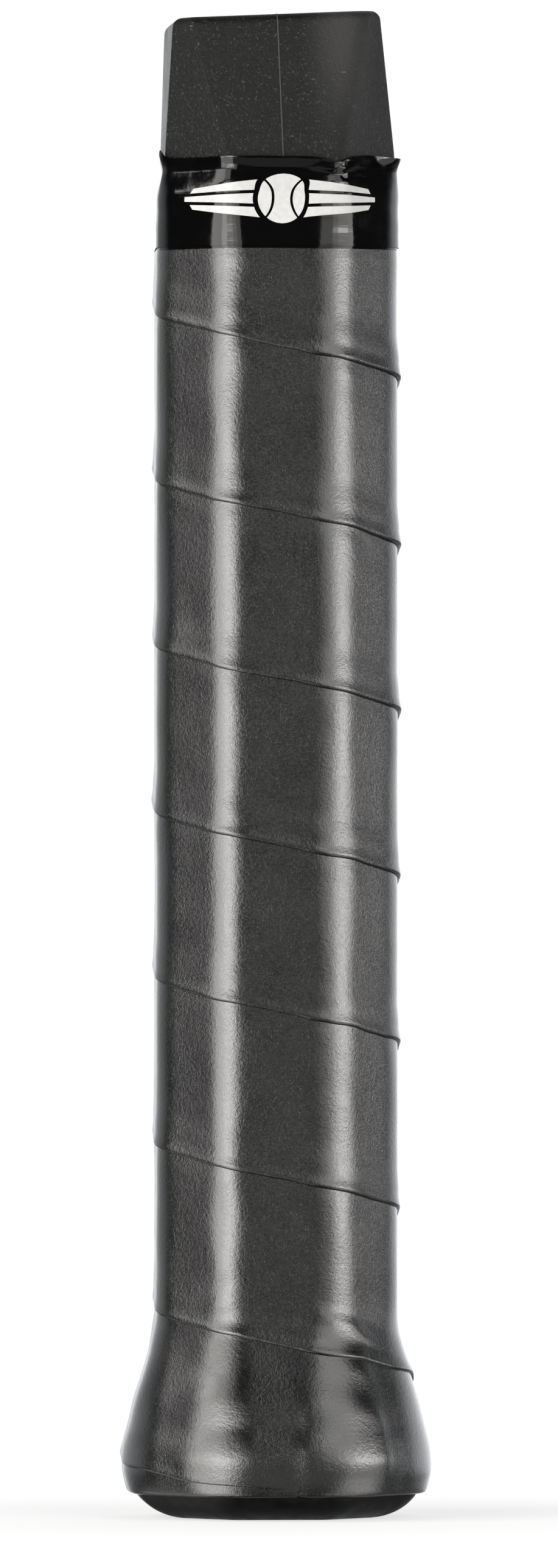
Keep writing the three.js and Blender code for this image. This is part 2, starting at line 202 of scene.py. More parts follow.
def noise(u, v, seed):
    """Smooth noise from -1 to 1, with one hill or hollow to each unit of u and v."""
    grid = np.random.default_rng(seed).uniform(-1, 1, (256, 256))
    low_u, low_v = np.floor(u).astype(int), np.floor(v).astype(int)
    part_u, part_v = u - low_u, v - low_v
    part_u, part_v = (p * p * p * (p * (6 * p - 15) + 10) for p in (part_u, part_v))

    def at(a, b):
        return grid[(low_u + a) % 256, (low_v + b) % 256]

    low = at(0, 0) * (1 - part_u) + at(1, 0) * part_u
    high = at(0, 1) * (1 - part_u) + at(1, 1) * part_u
    return low * (1 - part_v) + high * part_v


def ripple(length, size, seed):
    """The same noise along a single line, with one hill or hollow to each size."""
    return noise(length / size, 0 * length, seed)


# ---- The octagonal wall ----

def octagon(width, depth, run, radius):
    half_bevel = (width / 2 + depth / 2 - run) / math.sqrt(2)
    return np.array([width / 2, depth / 2, half_bevel, radius])


PALLET = octagon(PALLET_WIDTH, PALLET_DEPTH, BEVEL_RUN, CORNER_RADIUS)
TOP = octagon(TOP_WIDTH, TOP_DEPTH, TOP_BEVEL_RUN, STUB_CORNER_RADIUS)


def flare(z):
    """How far the butt cap stands out from the straight pallet at a height."""
    upper = FLARE_GROWTH * smooth(FLARE_TOP - z, 0, FLARE_TOP - FLARE_WIDEST)
    widest = PALLET_WIDTH / 2 + FLARE_GROWTH
    drop = np.clip((FLARE_WIDEST - z) / FLARE_WIDEST, 0, 1) ** BUTT_ROUNDNESS
    lower = BUTT_FLAT_HALF + (widest - BUTT_FLAT_HALF) * np.sqrt(1 - drop) - PALLET_WIDTH / 2
    return np.where(z >= FLARE_WIDEST, upper, lower)


def outer_shape(z):
    """The octagon under the tape at each height, as one row of four numbers to each."""
    z = np.asarray(z, float)
    growth = flare(z)
    below = PALLET + growth[..., None]
    below[..., 3] = np.maximum(CORNER_RADIUS + FLARE_SOFTENING * growth, BUTT_CORNER_RADIUS)
    part = np.clip((z - TAPER_START) / (PALLET_TOP - TAPER_START), 0, 1)[..., None]
    above = PALLET * (1 - part) + TOP * part
    crisp = smooth(z, *STUB_CRISP_BAND)
    above[..., 3] = CORNER_RADIUS * (1 - crisp) + STUB_CORNER_RADIUS * crisp
    return np.where((z <= TAPER_START)[..., None], below, above)


def stub_lean(z):
    """How far to the right the section at a height is: the top is a little off the axis, and leans left."""
    return STUB_SHIFT * smooth(z, *STUB_SHIFT_BAND) - math.tan(LEAN) * np.maximum(0, z - TAPER_START)


def slack_corner(share):
    """One at the corner the tape is drawn loosely over, and nothing away from it."""
    return 1 - smooth(np.abs(share - SLACK_CORNER), *SLACK_REACH)


def over_cap(z):
    """One over the butt cap, and nothing above it."""
    return smooth(SLACK_TOP - z, 0, SLACK_FADE)


def wrapped_shape(share, z):
    """The octagon that the tape follows: its corners are softer than the pallet's, and not quite alike."""
    shape = outer_shape(np.minimum(z, TAPER_START))
    uneven = 1 + 0.50 * noise(8 * share, z / 9, 41)
    softer = TAPE_CORNER_SOFTENING * uneven + 0.8 * smooth(FLARE_TOP - z, 0, 8)
    softer = softer + SLACK_CORNER_SOFTENING * slack_corner(share)
    shape[..., 3] += softer * (1 - smooth(z, *TAPE_END_BAND))
    return shape


def edge_distance(edge, shape):
    kind = edge % 4
    return np.where(kind == 0, shape[..., 0], np.where(kind == 2, shape[..., 1], shape[..., 2]))


def corner(edge, shape):
    """Centre of the rounded corner after an edge."""
    a = edge_distance(edge, shape) - shape[..., 3]
    b = edge_distance(edge + 1, shape) - shape[..., 3]
    start = math.pi + edge * EIGHTH
    along = (b - a * math.cos(EIGHTH)) / math.sin(EIGHTH)
    return a * np.cos(start) - along * np.sin(start), a * np.sin(start) + along * np.cos(start)


def wall_knots(shape):
    """Share at both ends of each rounded corner."""
    points = []
    for edge in range(8):
        x, y = corner(np.array(edge), shape)
        for step in (0, 1):
            angle = math.pi + (edge + step) * EIGHTH
            points.append((x + shape[3] * math.cos(angle), y + shape[3] * math.sin(angle)))
    around = [(-PALLET_WIDTH / 2, 0.0)] + points + [(-PALLET_WIDTH / 2, 0.0)]
    lengths = [math.dist(a, b) for a, b in zip(around, around[1:])]
    travelled = np.cumsum(lengths)
    return travelled[:-1] / travelled[-1], travelled[-1]


KNOTS, GIRTH = wall_knots(PALLET)
TAPE_KNOTS, _ = wall_knots(PALLET + np.array([0, 0, 0, TAPE_CORNER_SOFTENING]))
SLACK_CORNER = (KNOTS[4] + KNOTS[5]) / 2  # between the front and the bevel to its right


def wall(share, z, shape, outward=0.0, knots=KNOTS):
    """Points on the wall, standing out from it by outward."""
    share = np.mod(share, 1.0)
    index = np.searchsorted(knots, share)
    before = np.where(index == 0, knots[-1] - 1, knots[index - 1])
    after = np.where(index == len(knots), knots[0] + 1, knots[index % len(knots)])
    part = (share - before) / (after - before)
    edge = index // 2
    in_corner = index % 2 == 1
    angle = math.pi + (edge + np.where(in_corner, part, 0.0)) * EIGHTH
    this_x, this_y = corner(edge % 8, shape)
    last_x, last_y = corner((edge - 1) % 8, shape)
    mix = np.where(in_corner, 1.0, part)
    reach = shape[..., 3] + outward
    x = last_x + (this_x - last_x) * mix + reach * np.cos(angle) + stub_lean(z)
    y = last_y + (this_y - last_y) * mix + reach * np.sin(angle)
    return np.stack([x, y, z + 0 * x], axis=-1)


def wrapped_wall(share, z, outward):
    """Points on the tape or the film, which are drawn evenly over the corners."""
    spot = np.mod(share, 1.0)
    shape = wrapped_shape(spot, z)
    outward = outward + SLACK_PADDING * slack_corner(spot) * over_cap(z)
    points = 0
    for step, weight in enumerate(BRIDGING_WEIGHTS, start=-2):
        points = points + weight * wall(spot + step * BRIDGING / GIRTH, z, shape, outward, TAPE_KNOTS)
    return points


def shares_round(per_corner, per_side, per_bevel, per_front, knots=KNOTS):
    """Shares once round the octagon, with so many steps in each corner and along each edge."""
    counts = [per_side, per_bevel, per_front, per_bevel] * 2
    ends = list(knots) + [knots[0] + 1]
    shares = []
    for edge in range(8):
        steps = counts[(edge + 1) % 8]
        shares += list(np.linspace(ends[2 * edge], ends[2 * edge + 1], per_corner, endpoint=False))
        shares += list(np.linspace(ends[2 * edge + 1], ends[2 * edge + 2], steps, endpoint=False))
    return np.sort(np.mod(shares, 1.0))


FRONT_SHARE = (KNOTS[3] + KNOTS[4]) / 2


# ---- Meshes ----

def make_piece(name, points, faces, flat_angle=None):
    mesh = bpy.data.meshes.new(name)
    mesh.from_pydata((np.asarray(points, float).reshape(-1, 3) * MM).tolist(), [], faces)
    mesh.validate()
    piece = bpy.data.objects.new(name, mesh)
    bpy.context.collection.objects.link(piece)
    finish_shading(piece, flat_angle)
    return piece


def finish_shading(piece, flat_angle):
    mesh = piece.data
    mesh.shade_smooth()
    if flat_angle is not None:
        mesh.set_sharp_from_angle(angle=math.radians(flat_angle))


def grid_faces(rows, columns, wrap_rows=False, wrap_columns=False):
    """Quads of a grid whose points run column by column, rows points to each."""
    column_steps = columns if wrap_columns else columns - 1
    row_steps = rows if wrap_rows else rows - 1
    c, r = np.meshgrid(np.arange(column_steps), np.arange(row_steps), indexing="ij")
    around = ((0, 0), (0, 1), (1, 1), (1, 0))
    corners = [((c + i) % columns) * rows + (r + j) % rows for i, j in around]
    return np.stack(corners, axis=-1).reshape(-1, 4).tolist()


def tube_faces(ring_size, count):
    """A closed skin through count rings, with a flat face over each end."""
    first = list(range(ring_size))
    last = [(count - 1) * ring_size + i for i in first]
    return grid_faces(ring_size, count, wrap_rows=True) + [first[::-1], last]


def angles_round(steps):
    return np.linspace(0, 2 * math.pi, steps, endpoint=False)


def edit_mesh(piece, *changes):
    """Makes some changes to a piece's mesh, each of them a function of its bmesh."""
    work = bmesh.new()
    work.from_mesh(piece.data)
    for change in changes:
        change(work)
    work.to_mesh(piece.data)
    work.free()


def face_outwards(work):
    bmesh.ops.recalc_face_normals(work, faces=work.faces)
    if work.calc_volume(signed=True) < 0:
        bmesh.ops.reverse_faces(work, faces=work.faces)


def weld(work):
    bmesh.ops.remove_doubles(work, verts=work.verts, dist=1e-7)
    bmesh.ops.dissolve_degenerate(work, edges=work.edges, dist=1e-7)


def solid(points, faces, flat_angle=None):
    """A closed piece, with its faces outwards whichever way round they were given."""
    piece = make_piece("solid", points, faces, flat_angle)
    edit_mesh(piece, face_outwards)
    return piece


def combine(piece, other, operation):
    """Joins another solid to a piece, or cuts it out, and removes the other."""
    step = piece.modifiers.new("combine", "BOOLEAN")
    step.operation = operation
    step.solver = "MANIFOLD"
    step.object = other
    graph = bpy.context.evaluated_depsgraph_get()
    result = bpy.data.meshes.new_from_object(piece.evaluated_get(graph))
    piece.modifiers.clear()
    old = piece.data
    piece.data = result
    bpy.data.meshes.remove(old)
    bpy.data.objects.remove(other)


def block(low, high):
    corners = [(x, y, z) for x in (low[0], high[0]) for y in (low[1], high[1]) for z in (low[2], high[2])]
    faces = [(0, 1, 3, 2), (4, 6, 7, 5), (0, 4, 5, 1), (2, 3, 7, 6), (0, 2, 6, 4), (1, 5, 7, 3)]
    return solid(corners, faces)


def ring_solid(heights, shapes, shares):
    """A solid through rings of the wall at some heights."""
    rings = [wall(shares, np.full(len(shares), z), shape[None, :]) for z, shape in zip(heights, shapes)]
    return solid(np.concatenate(rings), tube_faces(len(shares), len(heights)))


def turned(outline, steps):
    """A solid turned about the handle's axis from a closed outline of (radius, height) points."""
    points = [(r * math.cos(a), r * math.sin(a), z) for a in angles_round(steps) for r, z in outline]
    faces = grid_faces(len(outline), steps, wrap_rows=True, wrap_columns=True)
    piece = make_piece("turned", points, faces)
    edit_mesh(piece, weld, face_outwards)
    return piece


def rounded_outline(points, radius, steps=4):
    """A closed outline with each corner rounded, except the ones on the axis."""
    result = []
    count = len(points)
    for i, (x, z) in enumerate(points):
        here = np.array([x, z])
        before, after = np.array(points[i - 1]), np.array(points[(i + 1) % count])
        if x == 0:
            result.append((x, z))
            continue
        to_before, to_after = before - here, after - here
        reach = min(radius, np.linalg.norm(to_before) / 2.2, np.linalg.norm(to_after) / 2.2)
        a = here + to_before / np.linalg.norm(to_before) * reach
        b = here + to_after / np.linalg.norm(to_after) * reach
        for t in np.linspace(0, 1, steps + 1):
            result.append(tuple((1 - t) ** 2 * a + 2 * t * (1 - t) * here + t * t * b))
    return result


def slab(outline, low_y, high_y):
    """A solid from a closed outline of (x, z) points, drawn out along Y."""
    points = [(x, y, z) for y in (low_y, high_y) for x, z in outline]
    return solid(points, tube_faces(len(outline), 2))


def rod_x(radius, from_x, to_x, z, steps=24):
    ring = [(radius * math.cos(a), z + radius * math.sin(a)) for a in angles_round(steps)]
    return solid([(x, *point) for x in (from_x, to_x) for point in ring], tube_faces(steps, 2))


def swept(path, section):
    """A solid along a path: the section's first number goes along side, the second along up."""
    path = np.asarray(path, float)
    ahead = np.gradient(path, axis=0)
    ahead /= np.linalg.norm(ahead, axis=1, keepdims=True)
    hint = np.array([0.0, 0.0, 1.0]) if abs(ahead[0, 2]) < 0.7 else np.array([1.0, 0.0, 0.0])
    rings = []
    for point, forward in zip(path, ahead):
        side = np.cross(forward, hint)
        side /= np.linalg.norm(side)
        up = np.cross(side, forward)
        rings += [point + a * side + b * up for a, b in section]
    return solid(rings, tube_faces(len(section), len(path)), flat_angle=50)


def rounded_box_section(width, height, radius, steps=3):
    """A closed outline of a rectangle with rounded corners."""
    outline = []
    for k in range(4):
        middle_x = (width / 2 - radius) * (1 if k in (0, 3) else -1)
        middle_y = (height / 2 - radius) * (1 if k in (0, 1) else -1)
        for a in np.linspace(k * math.pi / 2, (k + 1) * math.pi / 2, steps + 1):
            outline.append((middle_x + radius * math.cos(a), middle_y + radius * math.sin(a)))
    return outline


def place_piece(piece, node, slot, body=HANDLE):
    """Hands a piece over to the frame: the body it rides on, the node it replaces and its finish."""
    piece.name = node + "_fine"
    piece.data.name = piece.name
    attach(piece, body)
    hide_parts(node)
    piece.data.materials.clear()
    piece.data.materials.append(MATERIALS[slot])
    return piece


# ---- Materials ----

# A Mix node's colour sockets, which share their names with its number and vector sockets.
MIX_COLOURS = (6, 7)
MIX_RESULT = 2

# Where the painted highlight on the top of the stub's right corner lies: its side, half width and heights.
HIGHLIGHT_SIDE = 9.0
HIGHLIGHT_HALF_WIDTH = 6.5
HIGHLIGHT_BAND = (203.0, 222.0)
PARTING_HALF_WIDTHS = (0.07, 0.14)


def shade(value):
    """A colour with its alpha, from a grey or from three channels. A node's output is passed on."""
    if isinstance(value, float):
        return (value, value, value, 1.0)
    return (*value, 1.0) if isinstance(value, tuple) else value


class Graph:
    """The nodes of a material or of the world."""

    def __init__(self, owner):
        owner.use_nodes = True
        self.nodes = owner.node_tree.nodes
        self.links = owner.node_tree.links

    def feed(self, node, socket, value):
        """Gives an input another node's output, or a value."""
        if isinstance(value, bpy.types.NodeSocket):
            self.links.new(value, node.inputs[socket])
        else:
            node.inputs[socket].default_value = value

    def add(self, kind, output, inputs, **settings):
        """Adds a node, and returns one of its outputs."""
        node = self.nodes.new("ShaderNode" + kind)
        for setting, value in settings.items():
            setattr(node, setting, value)
        for socket, value in inputs.items():
            self.feed(node, socket, value)
        return node.outputs[output]

    def axis(self, vector, name):
        return self.add("SeparateXYZ", name, {"Vector": vector})

    def mapped(self, value, from_low, from_high, to_low=0.0, to_high=1.0):
        """A smooth step from one number to another as a value goes from low to high."""
        ends = {"From Min": from_low, "From Max": from_high, "To Min": to_low, "To Max": to_high}
        return self.add("MapRange", "Result", {"Value": value, **ends}, interpolation_type="SMOOTHSTEP")

    def combined(self, operation, first, second=0.0):
        return self.add("Math", "Value", {0: first, 1: second}, operation=operation)

    def mixed_shader(self, factor, first, second):
        return self.add("MixShader", "Shader", {"Fac": factor, 1: first, 2: second})


class Finish(Graph):
    """A procedural material under construction, in the object's own coordinates (metres)."""

    def __init__(self, name, roughness, specular=0.5, **sockets):
        self.made = bpy.data.materials.new(name)
        super().__init__(self.made)
        self.shader = self.nodes["Principled BSDF"]
        self.feed(self.shader, "Roughness", roughness)
        self.feed(self.shader, "Specular IOR Level", specular)
        for socket, value in sockets.items():
            self.feed(self.shader, socket, value)
        self.place = self.add("TexCoord", "Object", {})
        self.last_bump = None

    def stretched(self, vector, factors):
        return self.add("Mapping", "Vector", {"Vector": vector, "Scale": factors})

    def noise(self, size, detail=2.0, roughness=0.5, vector=None, distortion=0.0):
        """A noise whose hills are about size metres across."""
        grain = {"Scale": 1 / size, "Detail": detail, "Roughness": roughness, "Distortion": distortion}
        return self.add("TexNoise", "Fac", {"Vector": vector or self.place, **grain})

    def cells(self, size, feature="F1"):
        inputs = {"Vector": self.place, "Scale": 1 / size}
        return self.add("TexVoronoi", "Distance", inputs, feature=feature)

    def distance(self, value, middle):
        return self.combined("ABSOLUTE", self.combined("SUBTRACT", value, middle))

    def mixed(self, factor, first, second):
        """A colour between two, each a grey, three channels or another mix's output."""
        inputs = {"Factor": factor, MIX_COLOURS[0]: shade(first), MIX_COLOURS[1]: shade(second)}
        return self.add("Mix", MIX_RESULT, inputs, data_type="RGBA")

    def blend(self, pattern, low, high, first, second):
        """A colour that goes from the first to the second as a pattern goes from low to high."""
        return self.mixed(self.mapped(pattern, low, high), first, second)

    def colour(self, output):
        self.feed(self.shader, "Base Color", output)

    def roughness(self, pattern, low, high, smoothest, roughest):
        self.feed(self.shader, "Roughness", self.mapped(pattern, low, high, smoothest, roughest))

    def bump(self, height, distance, strength=1.0):
        """Adds to the bumps of the surface."""
        inputs = {"Height": height, "Distance": distance, "Strength": strength}
        if self.last_bump:
            inputs["Normal"] = self.last_bump
        self.last_bump = self.add("Bump", "Normal", inputs)
        self.feed(self.shader, "Normal", self.last_bump)


def tape_cover_finish():
    """Smooth black polyurethane: a satin skin with a fine pebble, faint haze and handling marks."""
    finish = Finish("tape_cover", roughness=0.21, specular=0.8)
    haze = finish.noise(0.014, detail=3)
    grain = finish.noise(0.0004, detail=2)
    dark = finish.blend(haze, 0.35, 0.7, 0.0008, (0.0014, 0.0014, 0.00135))
    finish.colour(finish.blend(grain, 0.3, 0.75, dark, (0.0032, 0.0032, 0.0031)))
    finish.roughness(finish.noise(0.006, detail=4, roughness=0.6), 0.3, 0.7, 0.195, 0.230)
    finish.bump(finish.noise(0.0006, detail=3, roughness=0.7), 0.00005, 0.8)
    finish.bump(finish.cells(0.00034, "SMOOTH_F1"), 0.00002, 0.6)
    finish.bump(finish.noise(0.00015, detail=1), 0.000022, 0.6)
    return finish.made


def felt_finish():
    """Dark needled felt on the back of the tape."""
    finish = Finish("tape_backing", roughness=0.95, specular=0.2)
    fibres = finish.noise(0.0003, detail=4, roughness=0.7, distortion=1.5)
    finish.colour(finish.mixed(fibres, (0.020, 0.020, 0.022), (0.075, 0.075, 0.08)))
    finish.bump(fibres, 0.00008, 0.8)
    return finish.made


def film_finish():
    """High-gloss vinyl film: near a mirror, with stretch lines along it, dust and a few scratches."""
    finish = Finish("film", roughness=0.07, specular=0.3)
    specks = finish.mapped(finish.cells(0.0016), 0.02, 0.05, 1, 0)
    rare = finish.mapped(finish.noise(0.003, detail=1), 0.62, 0.66)
    dust = finish.combined("MULTIPLY", specks, rare)
    finish.colour(finish.mixed(dust, (0.0012, 0.0012, 0.0013), (0.12, 0.12, 0.115)))
    finish.roughness(finish.noise(0.004, detail=3), 0.35, 0.75, 0.05, 0.13)
    along = finish.stretched(finish.add("TexCoord", "UV", {}), (90.0, 1400.0, 1.0))
    finish.bump(finish.noise(1.0, detail=3, roughness=0.6, vector=along), 0.000022, 0.5)
    finish.bump(finish.noise(0.0021, detail=2), 0.00005, 0.4)
    flattened = finish.stretched(finish.place, (300.0, 300.0, 2400.0))
    scratches = finish.noise(1.0, detail=0, vector=flattened)
    finish.bump(finish.mapped(scratches, 0.49, 0.51), 0.000004, 0.25)
    return finish.made


def parting_line(finish):
    """One on the line where the leaning halves of the pallet meet, and nothing beside it."""
    lean = math.tan(LEAN)
    rise = finish.combined("MULTIPLY", finish.axis(finish.place, "Z"), lean)
    upright = finish.combined("ADD", finish.axis(finish.place, "X"), rise)
    beside = finish.distance(upright, (STUB_SHIFT + lean * TAPER_START) * MM)
    inner, outer = PARTING_HALF_WIDTHS
    return finish.mapped(beside, inner * MM, outer * MM, 1, 0)


def painted_highlight_corner(finish):
    """One where a highlight is painted pale on the top of the stub's right corner, fading to nothing round
    it.
    """
    beside = finish.distance(finish.axis(finish.place, "X"), HIGHLIGHT_SIDE * MM)
    low, high = HIGHLIGHT_BAND
    upwards = finish.mapped(finish.axis(finish.place, "Z"), low * MM, high * MM, 0.1, 1)
    return finish.combined("MULTIPLY", finish.mapped(beside, 0.0, HIGHLIGHT_HALF_WIDTH * MM, 1, 0), upwards)


def nylon_finish():
    """Spark-textured black nylon: matt grain, pale scuffs, a painted highlight on the stub's right corner,
    and a pale parting line that is part whitened flash, part painted highlight.
    """
    finish = Finish("pallet_nylon", roughness=0.34, specular=0.16)
    grain = finish.noise(0.00038, detail=3, roughness=0.75)
    patches = finish.noise(0.009, detail=3)
    base = finish.blend(patches, 0.3, 0.7, 0.0010, 0.0020)
    speckled = finish.mixed(finish.mapped(grain, 0.58, 0.70, 0, 0.9), base, (0.055, 0.055, 0.053))
    # A painted highlight: the top of the stub's right corner is painted paler than the nylon.
    highlighted = finish.mixed(painted_highlight_corner(finish), speckled, (0.020, 0.020, 0.0195))
    streaks = finish.noise(1.0, detail=2, vector=finish.stretched(finish.place, (420.0, 420.0, 3800.0)))
    few = finish.mapped(finish.noise(0.0045, detail=2), 0.64, 0.72)
    scuffs = finish.combined("MULTIPLY", finish.mapped(streaks, 0.65, 0.72, 0, 0.5), few)
    scuffed = finish.mixed(scuffs, highlighted, (0.22, 0.22, 0.215))
    # The parting line is painted pale: part whitened flash, part painted highlight where the flash catches
    # the light.
    finish.colour(finish.mixed(parting_line(finish), scuffed, (0.045, 0.045, 0.044)))
    finish.roughness(patches, 0.3, 0.7, 0.30, 0.38)
    finish.bump(grain, 0.00022)
    finish.bump(finish.cells(0.00055, "SMOOTH_F1"), 0.00005, 0.5)
    return finish.made


def moulded_finish(name, base, paler, roughness):
    """Satin moulded plastic with a faint flow pattern and fine tooth."""
    finish = Finish(name, roughness=roughness, specular=0.1)
    finish.colour(finish.blend(finish.noise(0.012, detail=3, distortion=1.0), 0.3, 0.7, base, paler))
    finish.roughness(finish.noise(0.002, detail=3), 0.3, 0.7, roughness - 0.06, roughness + 0.08)
    finish.bump(finish.noise(0.00022, detail=2), 0.00002, 0.4)
    return finish.made


def wire_finish():
    """Drawn steel wire with fine lines along it."""
    finish = Finish("staple_wire", roughness=0.3, specular=0.5, Metallic=1.0)
    lines = finish.noise(1.0, detail=3, vector=finish.stretched(finish.place, (600.0, 600.0, 12000.0)))
    finish.colour(finish.mixed(lines, (0.42, 0.43, 0.44), (0.62, 0.63, 0.64)))
    finish.roughness(lines, 0.3, 0.7, 0.24, 0.40)
    finish.bump(lines, 0.000008, 0.4)
    return finish.made


def adhesive_finish():
    """Clear tacky adhesive with trapped air."""
    finish = Finish("adhesive", roughness=0.35, specular=0.5)
    bubbles = finish.mapped(finish.cells(0.0011), 0.1, 0.3, 1, 0)
    finish.colour(finish.mixed(bubbles, (0.62, 0.57, 0.42), (0.82, 0.80, 0.70)))
    finish.roughness(finish.noise(0.002), 0.3, 0.7, 0.25, 0.5)
    finish.bump(bubbles, 0.00004, 0.5)
    return finish.made


def ink_finish():
    """White printed ink, a little uneven where the film under it is stretched."""
    finish = Finish("mark_ink", roughness=0.4, specular=0.4)
    mottle = finish.noise(0.0007, detail=3, roughness=0.6)
    thin = finish.mapped(finish.cells(0.0009), 0.03, 0.07, 0.5, 0)
    plain = finish.blend(mottle, 0.3, 0.7, (0.335, 0.335, 0.332), (0.372, 0.372, 0.368))
    finish.colour(finish.mixed(thin, plain, 0.23))
    finish.roughness(mottle, 0.3, 0.7, 0.32, 0.5)
    finish.bump(mottle, 0.00001, 0.4)
    return finish.made


MATERIALS = {
    "pallet_nylon": nylon_finish(),
    "cap_plastic": moulded_finish("cap_plastic", 0.0012, 0.0022, 0.42),
    "door_plastic": moulded_finish("door_plastic", 0.007, 0.012, 0.38),
    "staple_wire": wire_finish(),
    "adhesive": adhesive_finish(),
    "tape_backing": felt_finish(),
    "tape_cover": tape_cover_finish(),
    "film": film_finish(),
    "mark_ink": ink_finish(),
}


# ---- The pallet ----

def lean_slope(z):
    """How much of the top face's slope a ring at a height already has."""
    return math.tan(LEAN) * np.clip((z - TAPER_START) / (RIM - TAPER_START), 0, 1)


def sloped(points):
    points = points.copy()
    points[..., 2] += points[..., 0] * lean_slope(points[..., 2])
    return points


def rim_bends():
    """How far in, and at what height, the top's rounded edge is at each step."""
    bends = np.linspace(0, math.pi / 2, 8)
    return [(TOP_EDGE_ROUND * (1 - math.cos(a)), RIM + TOP_EDGE_ROUND * math.sin(a)) for a in bends]


def pallet_outer():
    """The pallet's outer skin as one solid, before it is parted and hollowed."""
    shares = shares_round(6, 4, 5, 7)
    rebate = SLEEVE_WALL + CLEARANCE
    shoulder = SLEEVE_TOP + CLEARANCE
    rings = [(PALLET_FOOT, PALLET - rebate), (shoulder, PALLET - rebate), (shoulder, PALLET)]
    rings.append((FILM_FOOT, PALLET))
    rings += [(z, outer_shape(z)) for z in np.arange(TAPER_START - 4, RIM, 0.9)]
    rings += [(z, outer_shape(z) - np.array([inset] * 3 + [0])) for inset, z in rim_bends()]
    points = []
    for z, shape in rings:
        shapes = np.repeat(shape[None, :], len(shares), axis=0)
        shapes[:, 3] += STUB_SOFT_CORNER * slack_corner(shares) * smooth(z, *STUB_CRISP_BAND)
        points.append(sloped(wall(shares, np.full(len(shares), z), shapes)))
    return solid(np.concatenate(points), tube_faces(len(shares), len(rings)))


def cell_heights():
    """Bottom and top of each hollow cell, from the weight compartment upwards."""
    heights = [(0.0, STAPLE_WEB_BOTTOM)]
    for i in range(CELLS):
        low = STAPLE_WEB_TOP + i * CELL_STEP + (WEB if i else 0.0)
        heights.append((low, STAPLE_WEB_TOP + (i + 1) * CELL_STEP))
    return heights


def hollow(shell):
    """Cuts the hollow cells out of the pallet."""
    shares = shares_round(4, 2, 2, 2)
    inside = np.array([-PALLET_WALL] * 3 + [-CELL_CORNER_TIGHTENING])
    for low, high in cell_heights():
        upper = outer_shape(max(high, TAPER_START)) if high > TAPER_START else PALLET
        combine(shell, ring_solid([low, high], [PALLET + inside, upper + inside], shares), "DIFFERENCE")


def half_keeper(side):
    """The space on one side of the parting plane, which leans with the top of the pallet."""
    face = side * SEAM_GAP / 2
    far = PALLET_WIDTH
    above = PALLET_TOP + far
    outline = [
        (side * far, -far),
        (face, -far),
        *[(face + stub_lean(z), z) for z in np.linspace(*STUB_SHIFT_BAND, 9)],
        (face + stub_lean(above), above),
        (side * far, above),
    ]
    return slab(outline, -far, far)


def flash_bead():
    """The raised line of flash where the halves meet, up the front, over the top and down the back."""
    path = [(stub_lean(z), -outer_shape(z)[1], z) for z in np.linspace(FILM_FOOT + 4, RIM, 30)]
    path += [(stub_lean(z), inset - outer_shape(z)[1], z) for inset, z in rim_bends()[1:]]
    path = sloped(np.array(path))
    back = path[::-1] * np.array([1, -1, 1])
    section = [(FLASH_HALF_WIDTH * math.cos(a), FLASH_HEIGHT * math.sin(a)) for a in angles_round(8)]
    return swept(np.concatenate([path, back]), section)


def pallet_half(side, shell):
    """One half of the pallet. The left one has the pegs and the flash, the right one the holes."""
    half = shell.copy()
    half.data = shell.data.copy()
    bpy.context.collection.objects.link(half)
    combine(half, half_keeper(side), "INTERSECT")
    boss_end = PALLET_WIDTH / 2 - PALLET_WALL / 2
    face = SEAM_GAP / 2
    for web in PEG_WEBS:
        z = STAPLE_WEB_TOP + web * CELL_STEP + WEB / 2
        if side < 0:
            combine(half, rod_x(BOSS_RADIUS, -boss_end, -face, z), "UNION")
            combine(half, rod_x(PEG_RADIUS, -boss_end, PEG_REACH, z), "UNION")
        else:
            combine(half, rod_x(BOSS_RADIUS, face, boss_end, z), "UNION")
            combine(half, rod_x(PEG_RADIUS + CLEARANCE, 0, PEG_REACH + CLEARANCE, z), "DIFFERENCE")
    if side < 0:
        combine(half, flash_bead(), "UNION")
    finish_shading(half, 32)
    return half


# ---- Staples ----

# Each staple's name, its quarter turns from the front, and the pallet's size across its face.
STAPLE_FACES = [
    ("front", 0, PALLET_DEPTH),
    ("right", 1, PALLET_WIDTH),
    ("back", 2, PALLET_DEPTH),
    ("left", 3, PALLET_WIDTH),
]


def crown_y(breadth):
    return -(breadth / 2 + float(flare(STAPLE_HEIGHT)) - STAPLE_SINK)


def staple(turn, breadth):
    """A staple with bent shoulders and cut points, on one of the four wide faces."""
    half_span = STAPLE_SPAN / 2 - STAPLE_THICKNESS / 2
    top = crown_y(breadth) + STAPLE_THICKNESS / 2
    tip = crown_y(breadth) + STAPLE_THICKNESS + STAPLE_LEG
    bend = STAPLE_BEND
    path = [(-half_span, tip - i * (tip - top - bend) / 6) for i in range(6)]
    for a in np.linspace(0, math.pi / 2, 6):
        path.append((-half_span + bend - bend * math.cos(a), top + bend - bend * math.sin(a)))
    path += [(x, top) for x in np.linspace(-half_span + bend, 0, 5)[1:-1]]
    path += [(0.0, top)] + [(-x, y) for x, y in path[::-1]]
    flat = [(x, y, STAPLE_HEIGHT) for x, y in path]
    section = rounded_box_section(STAPLE_THICKNESS, STAPLE_WIRE, STAPLE_EDGE_ROUND)
    piece = swept(flat, section)
    spin(piece, turn)
    return piece


def spin(piece, quarter_turns):
    """Turns a piece's mesh about the handle's axis."""
    angle = quarter_turns * math.pi / 2
    for vertex in piece.data.vertices:
        x, y, _ = vertex.co
        vertex.co.x = x * math.cos(angle) - y * math.sin(angle)
        vertex.co.y = x * math.sin(angle) + y * math.cos(angle)


